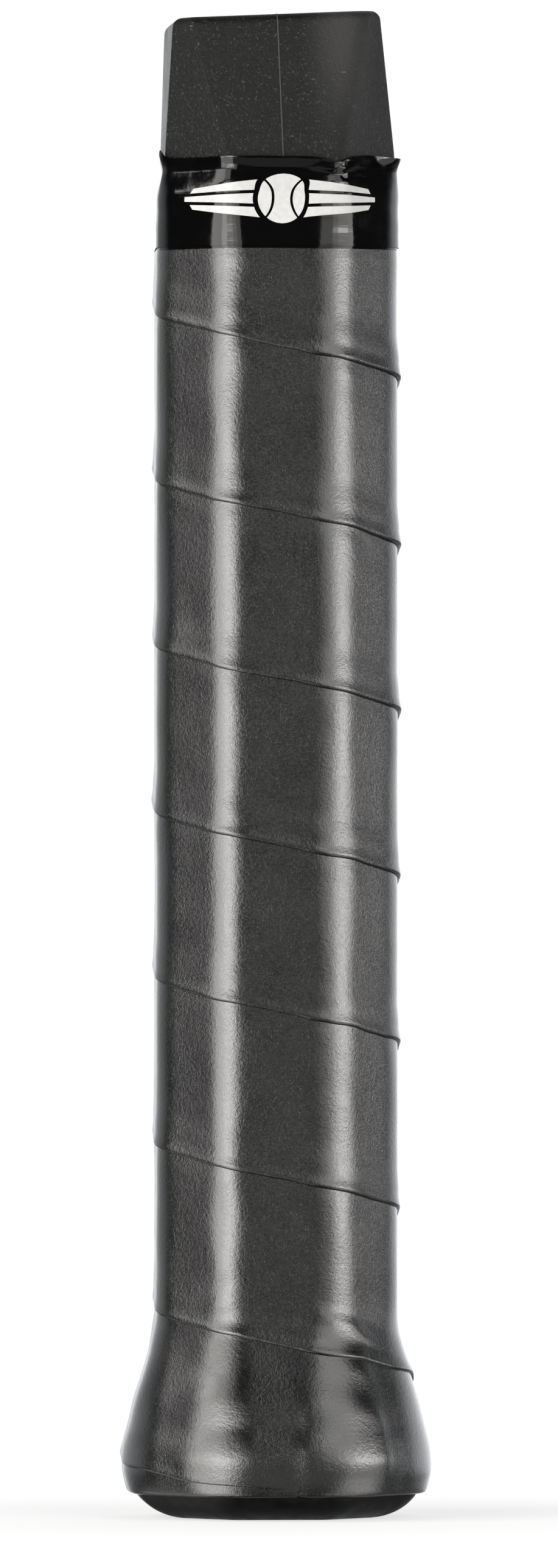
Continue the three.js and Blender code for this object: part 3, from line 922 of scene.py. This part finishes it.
def cut_staple_slots(piece):
    for _, turn, breadth in STAPLE_FACES:
        top = crown_y(breadth)
        outer = STAPLE_SPAN / 2 + CLEARANCE
        inner = STAPLE_SPAN / 2 - STAPLE_THICKNESS - CLEARANCE
        tip = top + STAPLE_THICKNESS + STAPLE_LEG + CLEARANCE
        half_wire = STAPLE_WIRE / 2 + CLEARANCE
        low, high = STAPLE_HEIGHT - half_wire, STAPLE_HEIGHT + half_wire
        crown = block((-outer, top - 2, low), (outer, top + STAPLE_THICKNESS + CLEARANCE, high))
        for left, right in ((-outer, -inner), (inner, outer)):
            combine(crown, block((left, top - 1, low), (right, tip, high)), "UNION")
        spin(crown, turn)
        combine(piece, crown, "DIFFERENCE")


# ---- Butt cap and door ----

def butt_cap():
    """The flared cap, with its bore, the door's seat and the staple slots."""
    shares = shares_round(8, 5, 7, 10)
    bends = np.linspace(0, 1, 22) ** 1.6 * FLARE_WIDEST
    heights = np.concatenate([bends, np.arange(FLARE_WIDEST + 1.2, SLEEVE_TOP - 0.5, 1.2), [SLEEVE_TOP]])
    cap = ring_solid(heights, outer_shape(heights), shares)
    bore = PALLET - SLEEVE_WALL
    combine(cap, ring_solid([CAP_FLOOR, SLEEVE_TOP + 1], [bore, bore], shares), "DIFFERENCE")
    seat = DOOR_RADIUS + CLEARANCE
    seat_top = DOOR_RECESS + DOOR_THICKNESS + CLEARANCE
    hole = DOOR_SKIRT_RADIUS + CLEARANCE
    mouth = seat + SEAT_CHAMFER
    opening = [(0, -1), (mouth, -1), (mouth, 0), (seat, SEAT_CHAMFER), (seat, seat_top), (hole, seat_top),
               (hole, CAP_FLOOR + 1), (0, CAP_FLOOR + 1)]
    combine(cap, turned(opening, 96), "DIFFERENCE")
    cut_staple_slots(cap)
    finish_shading(cap, 35)
    return cap


def butt_door():
    """The snap-in door: a recessed disc with a coin slot, over a springy skirt."""
    top = DOOR_RECESS + DOOR_THICKNESS
    inside = DOOR_SKIRT_RADIUS - DOOR_SKIRT_WALL
    outline = [(0, DOOR_RECESS), (DOOR_RADIUS, DOOR_RECESS), (DOOR_RADIUS, top), (DOOR_SKIRT_RADIUS, top),
               (DOOR_SKIRT_RADIUS, DOOR_SKIRT_TOP), (inside, DOOR_SKIRT_TOP), (inside, top), (0, top)]
    door = turned(rounded_outline(outline, DOOR_EDGE_ROUND), 96)
    length, width, depth = COIN_SLOT
    slot = block((-length / 2, -width / 2, -1), (length / 2, width / 2, DOOR_RECESS + depth))
    combine(door, slot, "DIFFERENCE")
    finish_shading(door, 40)
    return door


# ---- The wound strip ----

def seam_height(turn):
    """Height of the strip's lower edge after so many turns."""
    past = turn - FRONT_TURN
    crowding = BUTT_CROWDING * np.maximum(0, -past) ** 2
    return FRONT_SEAM_HEIGHT + PITCH * past - SEAM_WANDER * np.sin(2 * math.pi * past) + crowding


def strip_low(turn):
    return np.maximum(seam_height(turn), TAPE_FOOT)


def strip_high(turn):
    return np.minimum(seam_height(turn + 1) + OVERLAP, TAPE_HEAD)


def winding(shares, start, end):
    """The turns at which a winding passes a ring of shares, from its start to its end."""
    wholes = np.arange(math.floor(start), math.ceil(end) + 2)
    turns = np.sort((wholes[:, None] - np.asarray(shares)[None, :]).ravel())
    turns = turns[(turns > start) & (turns < end)]
    return np.concatenate([[start], turns, [end]])


def free_edge(turn):
    """One where the strip's lower edge lies on the turn below, and nothing where it is cut at the foot."""
    return smooth(strip_low(turn), TAPE_FOOT, TAPE_FOOT + FOOT_FADE)


def strip_ends():
    """The turns at which the strip becomes wide enough to be there, and at which it ends."""
    turns = np.linspace(-2, 10, 24001)
    inside = turns[strip_high(turns) - strip_low(turns) > NARROWEST_TAPE]
    return inside[0], inside[-1]


def front_distance(share):
    """Distance round the wall from the middle of the front, positive to the right."""
    return (np.mod(share - FRONT_SHARE + 0.5, 1.0) - 0.5) * GIRTH


# Soft folds in the tape where it is drawn over the flare and the corners. Each has its middle, as a
# distance round from the front's middle and a height, its half length and half width, the slope of
# its line, and how far it stands out (or in, when it is less than 0).
FOLDS = [
    (12.0, 9.3, 3.6, 1.50, 0.05, 0.22),
    (-11.0, 9.3, 3.6, 1.80, 0.00, 0.07),
    (-9.4, 18.4, 4.2, 1.50, 0.06, 0.13),
    (9.8, 22.6, 3.4, 1.40, -0.30, 0.12),
    (10.8, 16.2, 4.0, 1.50, -0.10, 0.06),
    (-11.0, 25.4, 3.2, 1.30, 0.15, 0.09),
    (8.6, 29.6, 5.0, 0.80, -0.34, 0.16),
    (12.6, 27.2, 4.2, 0.70, -0.30, 0.13),
    (6.0, 31.6, 3.6, 0.60, -0.45, 0.08),
    (-9.0, 35.2, 2.2, 1.20, 0.10, -0.09),
    (-9.6, 32.0, 2.4, 0.90, 0.15, 0.07),
    (-9.0, 22.0, 2.5, 1.40, 0.20, -0.08),
    (-3.0, 121.2, 6.0, 0.45, -0.85, -0.035),
    (-6.5, 13.9, 5.5, 1.10, 0.06, -0.12),
    (14.5, 12.2, 4.5, 1.00, 0.05, 0.10),
    (10.5, 18.5, 3.0, 1.60, -0.60, -0.10),
    (11.0, 147.0, 4.0, 1.20, -0.50, -0.05),
    (-10.0, 98.0, 3.0, 0.90, 0.30, 0.04),
    (10.0, 96.0, 3.5, 1.00, -0.35, 0.05),
    (-9.0, 72.0, 2.4, 1.00, 0.10, -0.04),
    (9.4, 62.0, 3.2, 1.30, -0.25, 0.05),
    (-8.6, 170.0, 2.8, 1.10, 0.25, -0.04),
    (9.5, 171.0, 2.8, 1.20, -0.40, 0.05),
]


# Ridges and a hollow round the whole flare: the height, half width and how far out of each.
CAP_RIDGES = [(9.8, 2.3, 0.16), (13.8, 2.3, -0.18), (18.2, 2.0, 0.05)]


def folds(around, z):
    relief = np.zeros_like(around)
    for middle, height, half_length, half_width, slope, out in FOLDS:
        along = around - middle
        across = z - height - slope * along
        relief += out * hill(along, 0, half_length) * hill(across, 0, half_width)
    return relief


def tape_relief(length, across, share, z):
    """How the tape's surface departs from an even winding, in millimetres."""
    relief = 0.050 * noise(length / 17, across / 8, 11)
    relief += 0.022 * noise(length / 6.5, across / 3.6, 12)
    relief += 0.007 * noise((length + 1.5 * across) / 15, (across - 0.22 * length) / 1.5, 13)
    relief += 0.022 * noise(length / 2.6, across / 6, 14) * np.exp(-across / 2.5)
    relief -= 0.06 * smooth(across, PITCH - 2.2, PITCH)
    around = front_distance(share)
    relief += folds(around, z)
    right = smooth(around, 5.0, 10.5)
    relief += 0.32 * right * hill(z, 9.0, 4.0)
    uneven = (1 + 0.5 * noise(around / 9, z / 30, 15)) * (1 - 0.85 * right)
    for height, half_width, out in CAP_RIDGES:
        relief += out * hill(z, height, half_width) * uneven
    return relief


def squeezed(z, pressed_band):
    """How much of its height the tape keeps under the film."""
    return 1 - PRESSED_SHARE * smooth(z, *pressed_band) - TUCKED_SHARE * smooth(z, *TAPE_TUCK_BAND)


def tape_outer(turn, across, width):
    """How far the tape's outer face stands from the pallet, and the height of each point."""
    share = np.mod(-turn, 1.0)
    length = turn * GIRTH
    free = free_edge(turn)
    wander = 0.11 * ripple(length, 9, 16) + 0.045 * ripple(length, 1.7, 17)
    nicks = -0.16 * np.maximum(0, ripple(length, 0.9, 18) - 0.72)
    z = strip_low(turn) + across + (wander * (0.35 + 0.65 * free) + nicks) * np.exp(-across / 1.6)
    lift = EDGE_LIFT * (1.0 + 0.25 * ripple(length, 11, 19) + 0.5 * hill(share, 0.46, 0.13))
    raised = lift * (1 - 0.45 * smooth(across, 0.3, 2.4) - 0.55 * smooth(across, 2.2, 6.8))
    bead = 0.035 * hill(across, 0.55, 0.35)
    thin = smooth(across, width - OVERLAP, width) * FAR_EDGE_THINNING
    loose = 1 - smooth(z, *COVER_PRESSED_BAND)
    top = TAPE_THICKNESS + (raised + bead) * loose - thin + tape_relief(length, across, share, z)
    top = top * squeezed(z, COVER_PRESSED_BAND)
    under = TAPE_THICKNESS - CUT_EDGE_DROP * (1 - free)
    edge = 1 - (1 - np.clip(across / LIP, 0, 1)) ** 2
    return np.where(across < LIP, under + (top - under) * edge, top), z


def wound(turns, outer_rows, inner_rows, surface, follow=wrapped_wall, flat_angle=60):
    """A closed strip wound round the handle, with a ring of points at each turn.

    surface(turn, row, inner) gives how far each point stands out, its height, and its place across the
    strip. The rows of the outer face come first, and the inner face's run back the other way.
    """
    rows = np.concatenate([outer_rows, inner_rows])
    turn, row = np.meshgrid(turns, rows, indexing="ij")
    inner = np.broadcast_to(np.arange(len(rows)) >= len(outer_rows), row.shape)
    outward, z, across = surface(turn, row, inner)
    piece = solid(follow(-turn, z, outward), tube_faces(len(rows), len(turns)), flat_angle)
    add_strip_map(piece, turn * GIRTH, across)
    return piece


def add_strip_map(piece, length, across):
    """A UV map in metres: along the strip, and across it."""
    layer = piece.data.uv_layers.new(name="strip")
    index = np.empty(len(piece.data.loops), int)
    piece.data.loops.foreach_get("vertex_index", index)
    values = np.stack([length.ravel()[index], across.ravel()[index]], axis=-1) * MM
    layer.data.foreach_set("uv", values.ravel())


def narrowed(turn, row):
    """The strip's width, and a row's distance across it: the rows shrink with it at its two ends."""
    width = strip_high(turn) - strip_low(turn)
    return width, row * width / STRIP_WIDTH


LIP_ROWS = [0, 0.05, 0.11, 0.17, 0.24, 0.34, 0.48, 0.68, 0.95, 1.35, 1.85]


def tape_cover():
    """The polyurethane skin, the part of the strip that is seen."""
    turns = winding(shares_round(12, 16, 16, 22, TAPE_KNOTS), *strip_ends())
    far_edge = [PITCH - 1.9, PITCH - 1.3, PITCH - 0.7, PITCH - 0.1, PITCH + 1.4, STRIP_WIDTH]
    slope = [*np.linspace(2.4, 4.9, 6), 5.5, 6.2]
    outer_rows = np.concatenate([LIP_ROWS, slope, np.arange(7.1, PITCH - 2.4, 0.95), far_edge])
    inner_rows = [STRIP_WIDTH, PITCH, 15.0, 6.6, 5.6, 4.6, 3.4, 0.02]

    def surface(turn, row, inner):
        width, across = narrowed(turn, row)
        top, z = tape_outer(turn, across, width)
        resting = TAPE_THICKNESS + SKIN_GAP - (CUT_EDGE_DROP + SKIN_GAP) * (1 - free_edge(turn))
        lapped = 1 - smooth(across, 3.2, 7.6)
        under = (top - COVER_THICKNESS) * (1 - lapped) + np.minimum(resting, top - 0.02) * lapped
        return np.where(inner, under, top), z, across

    return wound(turns, outer_rows, inner_rows, surface)


def tape_backing():
    """The felt on the back of the strip, under its body."""
    turns = winding(shares_round(6, 6, 6, 8, TAPE_KNOTS), *strip_ends())
    rows = [6.8, 7.2, 10, 13, 16, 19, 22, 25.5, 26.6]

    def surface(turn, row, inner):
        _, across = narrowed(turn, row)
        z = strip_low(turn) + across
        fuzz = 0.012 * noise(turn * GIRTH / 0.9, across / 0.9, 21)
        top = STAND_OFF + BACKING_THICKNESS - LAYER_GAP + fuzz
        return np.where(inner, STAND_OFF - FELT_SINK, top) * squeezed(z, BACKING_PRESSED_BAND), z, across

    return wound(turns, rows, rows[::-1], surface)


def under_wall(share, z, outward):
    """Points on the octagon under the tape."""
    return wall(share, z, outer_shape(z), outward)


def starter_adhesive():
    """The strip of tacky adhesive under the first stretch of tape."""
    start, _ = strip_ends()
    turns = winding(shares_round(4, 8, 8, 10), start, start + ADHESIVE_TURNS)
    rows = np.linspace(ADHESIVE_FOOT, FLARE_WIDEST, 8)

    def surface(turn, z, inner):
        rim = 0.02 * noise(turn * GIRTH / 1.5, z / 1.5, 22)
        return np.where(inner, LAYER_GAP, LAYER_GAP + ADHESIVE_THICKNESS + rim), z, z

    return wound(turns, rows, rows[::-1], surface, under_wall, flat_angle=50)


# ---- The finishing film and its mark ----

# Where the film's upper edge sags or sticks up: the middle as a distance round from the front's middle,
# the half length, and the height.
FILM_EDGE = [(8.2, 2.6, -0.85), (14.0, 4.0, 0.25), (-20.6, 0.9, 1.15)]

# Where the film draws in towards the pallet or stands off it: two heights, and how far out it goes.
FILM_STAND = 0.70
FILM_SLOPES = [(FILM_FOOT + 0.5, 195.5, -0.13), (197.0, 201.2, -0.50), (201.0, 203.3, 0.30)]

# The loose places of its upper edge: two heights, the middle and half length round, and how far out.
FILM_LOOSE = [(200.9, 203.2, 19.3, 2.4, 0.80), (201.8, 204.0, -20.6, 2.0, 0.30)]

# Its creases: the middle and half length round, the height and half width, the waves of its line, and
# how far out.
FILM_CREASES = [
    (8.4, 3.4, 201.35, 0.42, 0.10, 0.42),
    (9.2, 3.6, 200.40, 0.45, 0.0, -0.16),
    (12.0, 2.6, 202.50, 0.32, 0.0, 0.20),
    (-9.5, 1.6, 200.90, 0.30, 0.0, 0.04),
    (9.6, 1.5, 199.35, 0.30, 0.0, 0.09),
]
FILM_EDGE_ROOM = 0.55
INNER_EDGE_DROP = 0.25
OUTER_FOOT_RISE = 0.38
FILM_LAYER = 0.15
FILM_END_STEP = 0.09
FILM_END_SHARE = 0.045


def outer_layer(turn):
    """One in the outer of the film's two layers, and nothing in the inner one."""
    return 1 - smooth(turn, 0.95, 1.05)


def film_top(around, layer):
    """Height of the film's ragged upper edge: it sags on the right and sticks up on the left."""
    top = FILM_HEAD - FILM_EDGE_ROOM + 0.10 * ripple(around, 7, 31) + 0.03 * ripple(around, 1.6, 32)
    for middle, reach, rise in FILM_EDGE:
        top += rise * hill(around, middle, reach)
    return top - INNER_EDGE_DROP * (1 - layer)


def film_outer(turn, z):
    """How far the film's outer face stands from the pallet."""
    share = np.mod(-turn, 1.0)
    around = front_distance(share)
    length = turn * GIRTH
    past_end = np.mod(share - FILM_END_SHARE + 0.5, 1.0) - 0.5
    out = FILM_STAND + FILM_LAYER * outer_layer(turn)
    out = out + np.where(turn < 1.0, FILM_END_STEP * smooth(past_end, -0.004, 0.004), 0.0)
    for low, high, rise in FILM_SLOPES:
        out = out + rise * smooth(z, low, high)
    for low, high, middle, reach, rise in FILM_LOOSE:
        out = out + rise * smooth(z, low, high) * hill(around, middle, reach)
    for middle, reach, height, thickness, wave, rise in FILM_CREASES:
        line = height + wave * np.sin(around * 1.7)
        out = out + rise * hill(around, middle, reach) * hill(z, line, thickness)
    out = out + 0.020 * noise(length / 8, z / 2.2, 33) + 0.003 * noise(length / 3.0, z / 0.7, 34)
    return out + (0.05 + 0.09 * noise(length / 9, z / 2.7, 37)) * smooth(z, 191.2, 193.6)


def finishing_film():
    """The film tape, wound nearly twice over the strip's upper end."""
    end = FILM_START_TURN + FILM_TURNS
    turns = winding(shares_round(14, 18, 24, 38, TAPE_KNOTS), FILM_START_TURN, end)
    outer_parts = np.concatenate([[0, 0.012, 0.03], np.linspace(0.06, 0.94, 38), [0.97, 0.988, 1.0]])

    def surface(turn, part, inner):
        layer = outer_layer(turn)
        foot = FILM_FOOT - FILM_CREEP + OUTER_FOOT_RISE * layer + 0.05 * ripple(turn * GIRTH, 6, 36)
        z = foot + part * (film_top(front_distance(np.mod(-turn, 1.0)), layer) - foot)
        outward = film_outer(turn, z)
        curl = 0.03 * hill(part, 0.0, 0.02)
        return np.where(inner, outward - FILM_THICKNESS, outward + curl), z, z

    return wound(turns, outer_parts, np.linspace(1, 0, 14), surface)


MARK_HEIGHT = 196.8
BALL_RADIUS = 3.7
SEAM_ARC_RADIUS = 4.1
SEAM_ARC_OFFSET = 5.5
MARK_GAP = 0.42
INK_GAP = 0.02
INK_THICKNESS = 0.03
STRIPES_START_RADIUS = BALL_RADIUS + 0.75
STRIPES_END = 15.6
STRIPE_SPACING = 2.05
STRIPE_THICKNESS = 1.55
STRIPE_TAPER = 0.85


def ink_patch(points, faces, around, z):
    """Adds a thin patch of ink on the film, from grids of distances round and heights."""
    columns, rows = around.shape
    share = np.mod(FRONT_SHARE + around / GIRTH, 1.0)
    outward = film_outer(1.0 - share, z)
    start = sum(len(p) for p in points)
    for lift in (INK_GAP, INK_GAP + INK_THICKNESS):
        points.append(wrapped_wall(share, z, outward + lift).reshape(-1, 3))
    count = columns * rows
    base = np.array(grid_faces(rows, columns))
    faces += (base + start).tolist()
    faces += (base[:, ::-1] + start + count).tolist()
    rim = [c * rows for c in range(columns)]
    rim += [(columns - 1) * rows + r for r in range(1, rows)]
    rim += [c * rows + rows - 1 for c in range(columns - 2, -1, -1)]
    rim += [r for r in range(rows - 2, 0, -1)]
    for a, b in zip(rim, rim[1:] + rim[:1]):
        faces.append((start + a, start + b, start + count + b, start + count + a))


def film_mark():
    """The printed mark: a ball with two curved seams, between two tapering sheaves of stripes."""
    points, faces = [], []
    z = np.linspace(-BALL_RADIUS * 0.9995, BALL_RADIUS * 0.9995, 90)
    half = np.sqrt(BALL_RADIUS**2 - z**2)
    arc = SEAM_ARC_OFFSET - np.sqrt(np.maximum(0, SEAM_ARC_RADIUS**2 - z**2))
    gap = MARK_GAP / 2
    between = (np.maximum(-half, -arc + gap), np.minimum(half, arc - gap))
    for low, high in ((-half, -arc - gap), between, (arc + gap, half)):
        keep = high - low > 0.01
        part = np.linspace(0, 1, 15)[:, None]
        around = low[keep][None, :] * (1 - part) + high[keep][None, :] * part
        ink_patch(points, faces, around, MARK_HEIGHT + np.repeat(z[keep][None, :], len(part), axis=0))
    for side in (-1, 1):
        for stripe in (-1, 0, 1):
            u, v = np.meshgrid(np.linspace(0, 1, 60), np.linspace(-0.5, 0.5, 10), indexing="ij")
            middle = stripe * (STRIPE_SPACING - STRIPE_TAPER * u)
            height = middle + v * (STRIPE_THICKNESS - STRIPE_TAPER * u)
            begin = np.sqrt(STRIPES_START_RADIUS**2 - np.minimum(height**2, 9.0))
            finish = STRIPES_END - 1.2 * abs(stripe) - 0.5 * v * stripe
            around = side * (begin + (finish - begin) * u)
            ink_patch(points, faces, around, MARK_HEIGHT + height)
    return solid(np.concatenate(points), faces, flat_angle=40)


# ---- Camera, light and floor ----

CAMERA_DISTANCE = 2.5
CAMERA_AZIMUTH = math.radians(-3.5)
VIEW_HEIGHT = 0.2347  # of the picture, at the handle's axis
AIM_HEIGHT = 0.1097
AIM_SIDE = 0.0005
SENSOR = 36.0


def make_camera():
    data = bpy.data.cameras.new("camera")
    data.sensor_width = SENSOR
    data.lens = SENSOR * CAMERA_DISTANCE / VIEW_HEIGHT
    data.clip_start, data.clip_end = 0.05, 50.0
    camera = bpy.data.objects.new("camera", data)
    bpy.context.collection.objects.link(camera)
    right = Vector((math.cos(CAMERA_AZIMUTH), math.sin(CAMERA_AZIMUTH), 0))
    back = Vector((math.sin(CAMERA_AZIMUTH), -math.cos(CAMERA_AZIMUTH), 0))
    aim = right * AIM_SIDE + Vector((0, 0, AIM_HEIGHT))
    camera.location = aim + back * CAMERA_DISTANCE
    camera.rotation_mode = "QUATERNION"
    camera.rotation_quaternion = (-back).to_track_quat("-Z", "Y")
    bpy.context.scene.camera = camera


LIGHT_DISTANCE = 1.3
WARM = (1.0, 0.985, 0.96)

# The upright light panels round the handle: the azimuths of each one's two sides, in degrees from the
# front and positive to the right, the heights of its ends, and its radiance.
PANELS = [
    (-78, -53, -0.08, 0.42, 6.4),
    (-53, -39, -0.08, 0.42, 10.2),
    (-39, -24, -0.08, 0.20, 13.0),
    (-39, -24, 0.20, 0.42, 6.0),
    (-24, -15, -0.08, 0.20, 9.0),
    (-24, -15, 0.20, 0.42, 4.0),
    (-15, -7, -0.08, 0.42, 2.6),
    (-88, -60, 0.50, 1.40, 6.2),
    (-60, -28, 0.50, 1.40, 3.4),
    (-78, -22, -0.95, -0.09, 4.6),
    (14, 37, 0.0, 0.39, 2.4),
    (37, 50, 0.0, 0.16, 8.4),
    (37, 50, 0.16, 0.39, 4.0),
    (50, 74, 0.0, 0.16, 15.5),
    (50, 74, 0.16, 0.39, 5.0),
    (74, 86, 0.0, 0.16, 8.4),
    (74, 86, 0.16, 0.39, 5.0),
    (12, 36, 0.45, 1.20, 3.6),
    (36, 66, 0.45, 1.20, 2.8),
    (40, 88, -0.95, -0.01, 1.8),
    (-22, 40, -0.95, -0.12, 0.5),
]

# The light that a pale table throws up at the handle's foot: each part's azimuth and radiance.
TABLE_GLOW = [(-112, 1.0), (-48, 3.0), (64, 1.6)]
GLOW_DISTANCE = 0.45
GLOW_SIZE = 0.5


def light_panel(name, place, aim, size, radiance):
    """A rectangular light that faces a point."""
    data = bpy.data.lights.new(name, "AREA")
    data.shape = "RECTANGLE"
    data.size, data.size_y = size
    data.energy = radiance * math.pi * size[0] * size[1]
    data.color = WARM
    light = bpy.data.objects.new(name, data)
    bpy.context.collection.objects.link(light)
    light.location = place
    light.rotation_mode = "QUATERNION"
    light.rotation_quaternion = (Vector(aim) - Vector(place)).to_track_quat("-Z", "Y")
    light.visible_camera = False


def round_the_handle(azimuth, distance, height):
    angle = math.radians(azimuth)
    return (distance * math.sin(angle), -distance * math.cos(angle), height)


def make_lights():
    for i, (start, end, low, high, radiance) in enumerate(PANELS):
        width = 2 * LIGHT_DISTANCE * math.tan(math.radians(end - start) / 2)
        middle = (low + high) / 2
        place = round_the_handle((start + end) / 2, LIGHT_DISTANCE, middle)
        light_panel(f"panel_{i}", place, (0, 0, middle), (width, high - low), radiance)
    for i, (azimuth, radiance) in enumerate(TABLE_GLOW):
        place = round_the_handle(azimuth, GLOW_DISTANCE, -GLOW_DISTANCE)
        light_panel(f"table_{i}", place, (0, 0, 0), (GLOW_SIZE, GLOW_SIZE), radiance)


# The room's own light is the product of four steps: it is behind the handle, stronger on the right,
# and weak from below and from high up. Each has its axis, the directions it goes between, and its level
# at both.
WORLD_STEPS = [
    ("Y", 0.08, 0.40, 0.02, 1.0),
    ("X", -0.5, 0.2, 0.9, 2.2),
    ("Z", -0.35, 0.05, 0.15, 1.0),
    ("Z", 0.08, 0.45, 1.0, 0.35),
]
WHITE_LEVEL = 1.05


def make_world():
    """White where the camera sees it, and otherwise dark in front with a bright wall behind."""
    world = bpy.data.worlds.new("studio")
    bpy.context.scene.world = world
    graph = Graph(world)
    graph.nodes.clear()
    direction = graph.add("TexCoord", "Generated", {})
    level = 1.0
    for axis, low, high, dark, bright in WORLD_STEPS:
        step = graph.mapped(graph.axis(direction, axis), low, high, dark, bright)
        level = graph.combined("MULTIPLY", level, step)
    room = graph.add("Background", "Background", {"Color": shade((0.95, 0.97, 1.0)), "Strength": level})
    white = graph.add("Background", "Background", {"Color": shade(1.0), "Strength": WHITE_LEVEL})
    seen = graph.add("LightPath", "Is Camera Ray", {})
    output = graph.nodes.new("ShaderNodeOutputWorld")
    graph.feed(output, "Surface", graph.mixed_shader(seen, room, white))


FLOOR_HEIGHT = -0.02
FLOOR_RINGS = [0.0001, 0.03, 0.08, 0.2, 0.5, 1.2, 4.0]
FLOOR_FADE = (0.03, 0.12)
FLOOR_GLOW = 0.65  # the share of the white that the floor has under the handle


def floor_material():
    """Pale near the handle, the room's white further off, and clear from below."""
    made = bpy.data.materials.new("floor")
    graph = Graph(made)
    graph.nodes.clear()
    place = graph.add("TexCoord", "Object", {})
    away = graph.add("VectorMath", "Value", {0: place}, operation="LENGTH")
    pale = graph.add("BsdfDiffuse", "BSDF", {"Color": shade(0.9)})
    glow = graph.add("Emission", "Emission", {"Strength": WHITE_LEVEL})
    above = graph.mixed_shader(graph.mapped(away, *FLOOR_FADE, FLOOR_GLOW, 1), pale, glow)
    below = graph.add("BsdfTransparent", "BSDF", {})
    side = graph.add("NewGeometry", "Backfacing", {})
    output = graph.nodes.new("ShaderNodeOutputMaterial")
    graph.feed(output, "Surface", graph.mixed_shader(side, above, below))
    return made


def make_floor():
    """A floor that takes the handle's soft shadow and fades into the white room."""
    steps = 64
    points = []
    for a in angles_round(steps):
        points += [(r / MM * math.cos(a), r / MM * math.sin(a), FLOOR_HEIGHT) for r in FLOOR_RINGS]
    floor = make_piece("floor", points, grid_faces(len(FLOOR_RINGS), steps, wrap_columns=True))
    floor.data.materials.append(floor_material())
    for ray in ("diffuse", "glossy", "transmission", "shadow"):
        setattr(floor, "visible_" + ray, False)


# ---- The whole ----


def build():
    shell = pallet_outer()
    hollow(shell)
    cut_staple_slots(shell)
    for side, node in ((-1, "pallet_half_left"), (1, "pallet_half_right")):
        place_piece(pallet_half(side, shell), node, "pallet_nylon")
    bpy.data.objects.remove(shell)
    place_piece(butt_cap(), "butt_cap", "cap_plastic")
    place_piece(butt_door(), "butt_cap_door", "door_plastic", DOOR)
    for name, turn, breadth in STAPLE_FACES:
        place_piece(staple(turn, breadth), "cap_staple_" + name, "staple_wire")
    place_piece(starter_adhesive(), "starter_adhesive", "adhesive")
    backing = place_piece(tape_backing(), "grip_tape_backing", "tape_backing")
    cover = place_piece(tape_cover(), "grip_tape_cover", "tape_cover")
    film = place_piece(finishing_film(), "finishing_film", "film")
    place_piece(film_mark(), "finishing_film_mark", "mark_ink")


make_camera()
make_world()
make_lights()
make_floor()
build()
bpy.context.scene.view_settings.view_transform = "Standard"
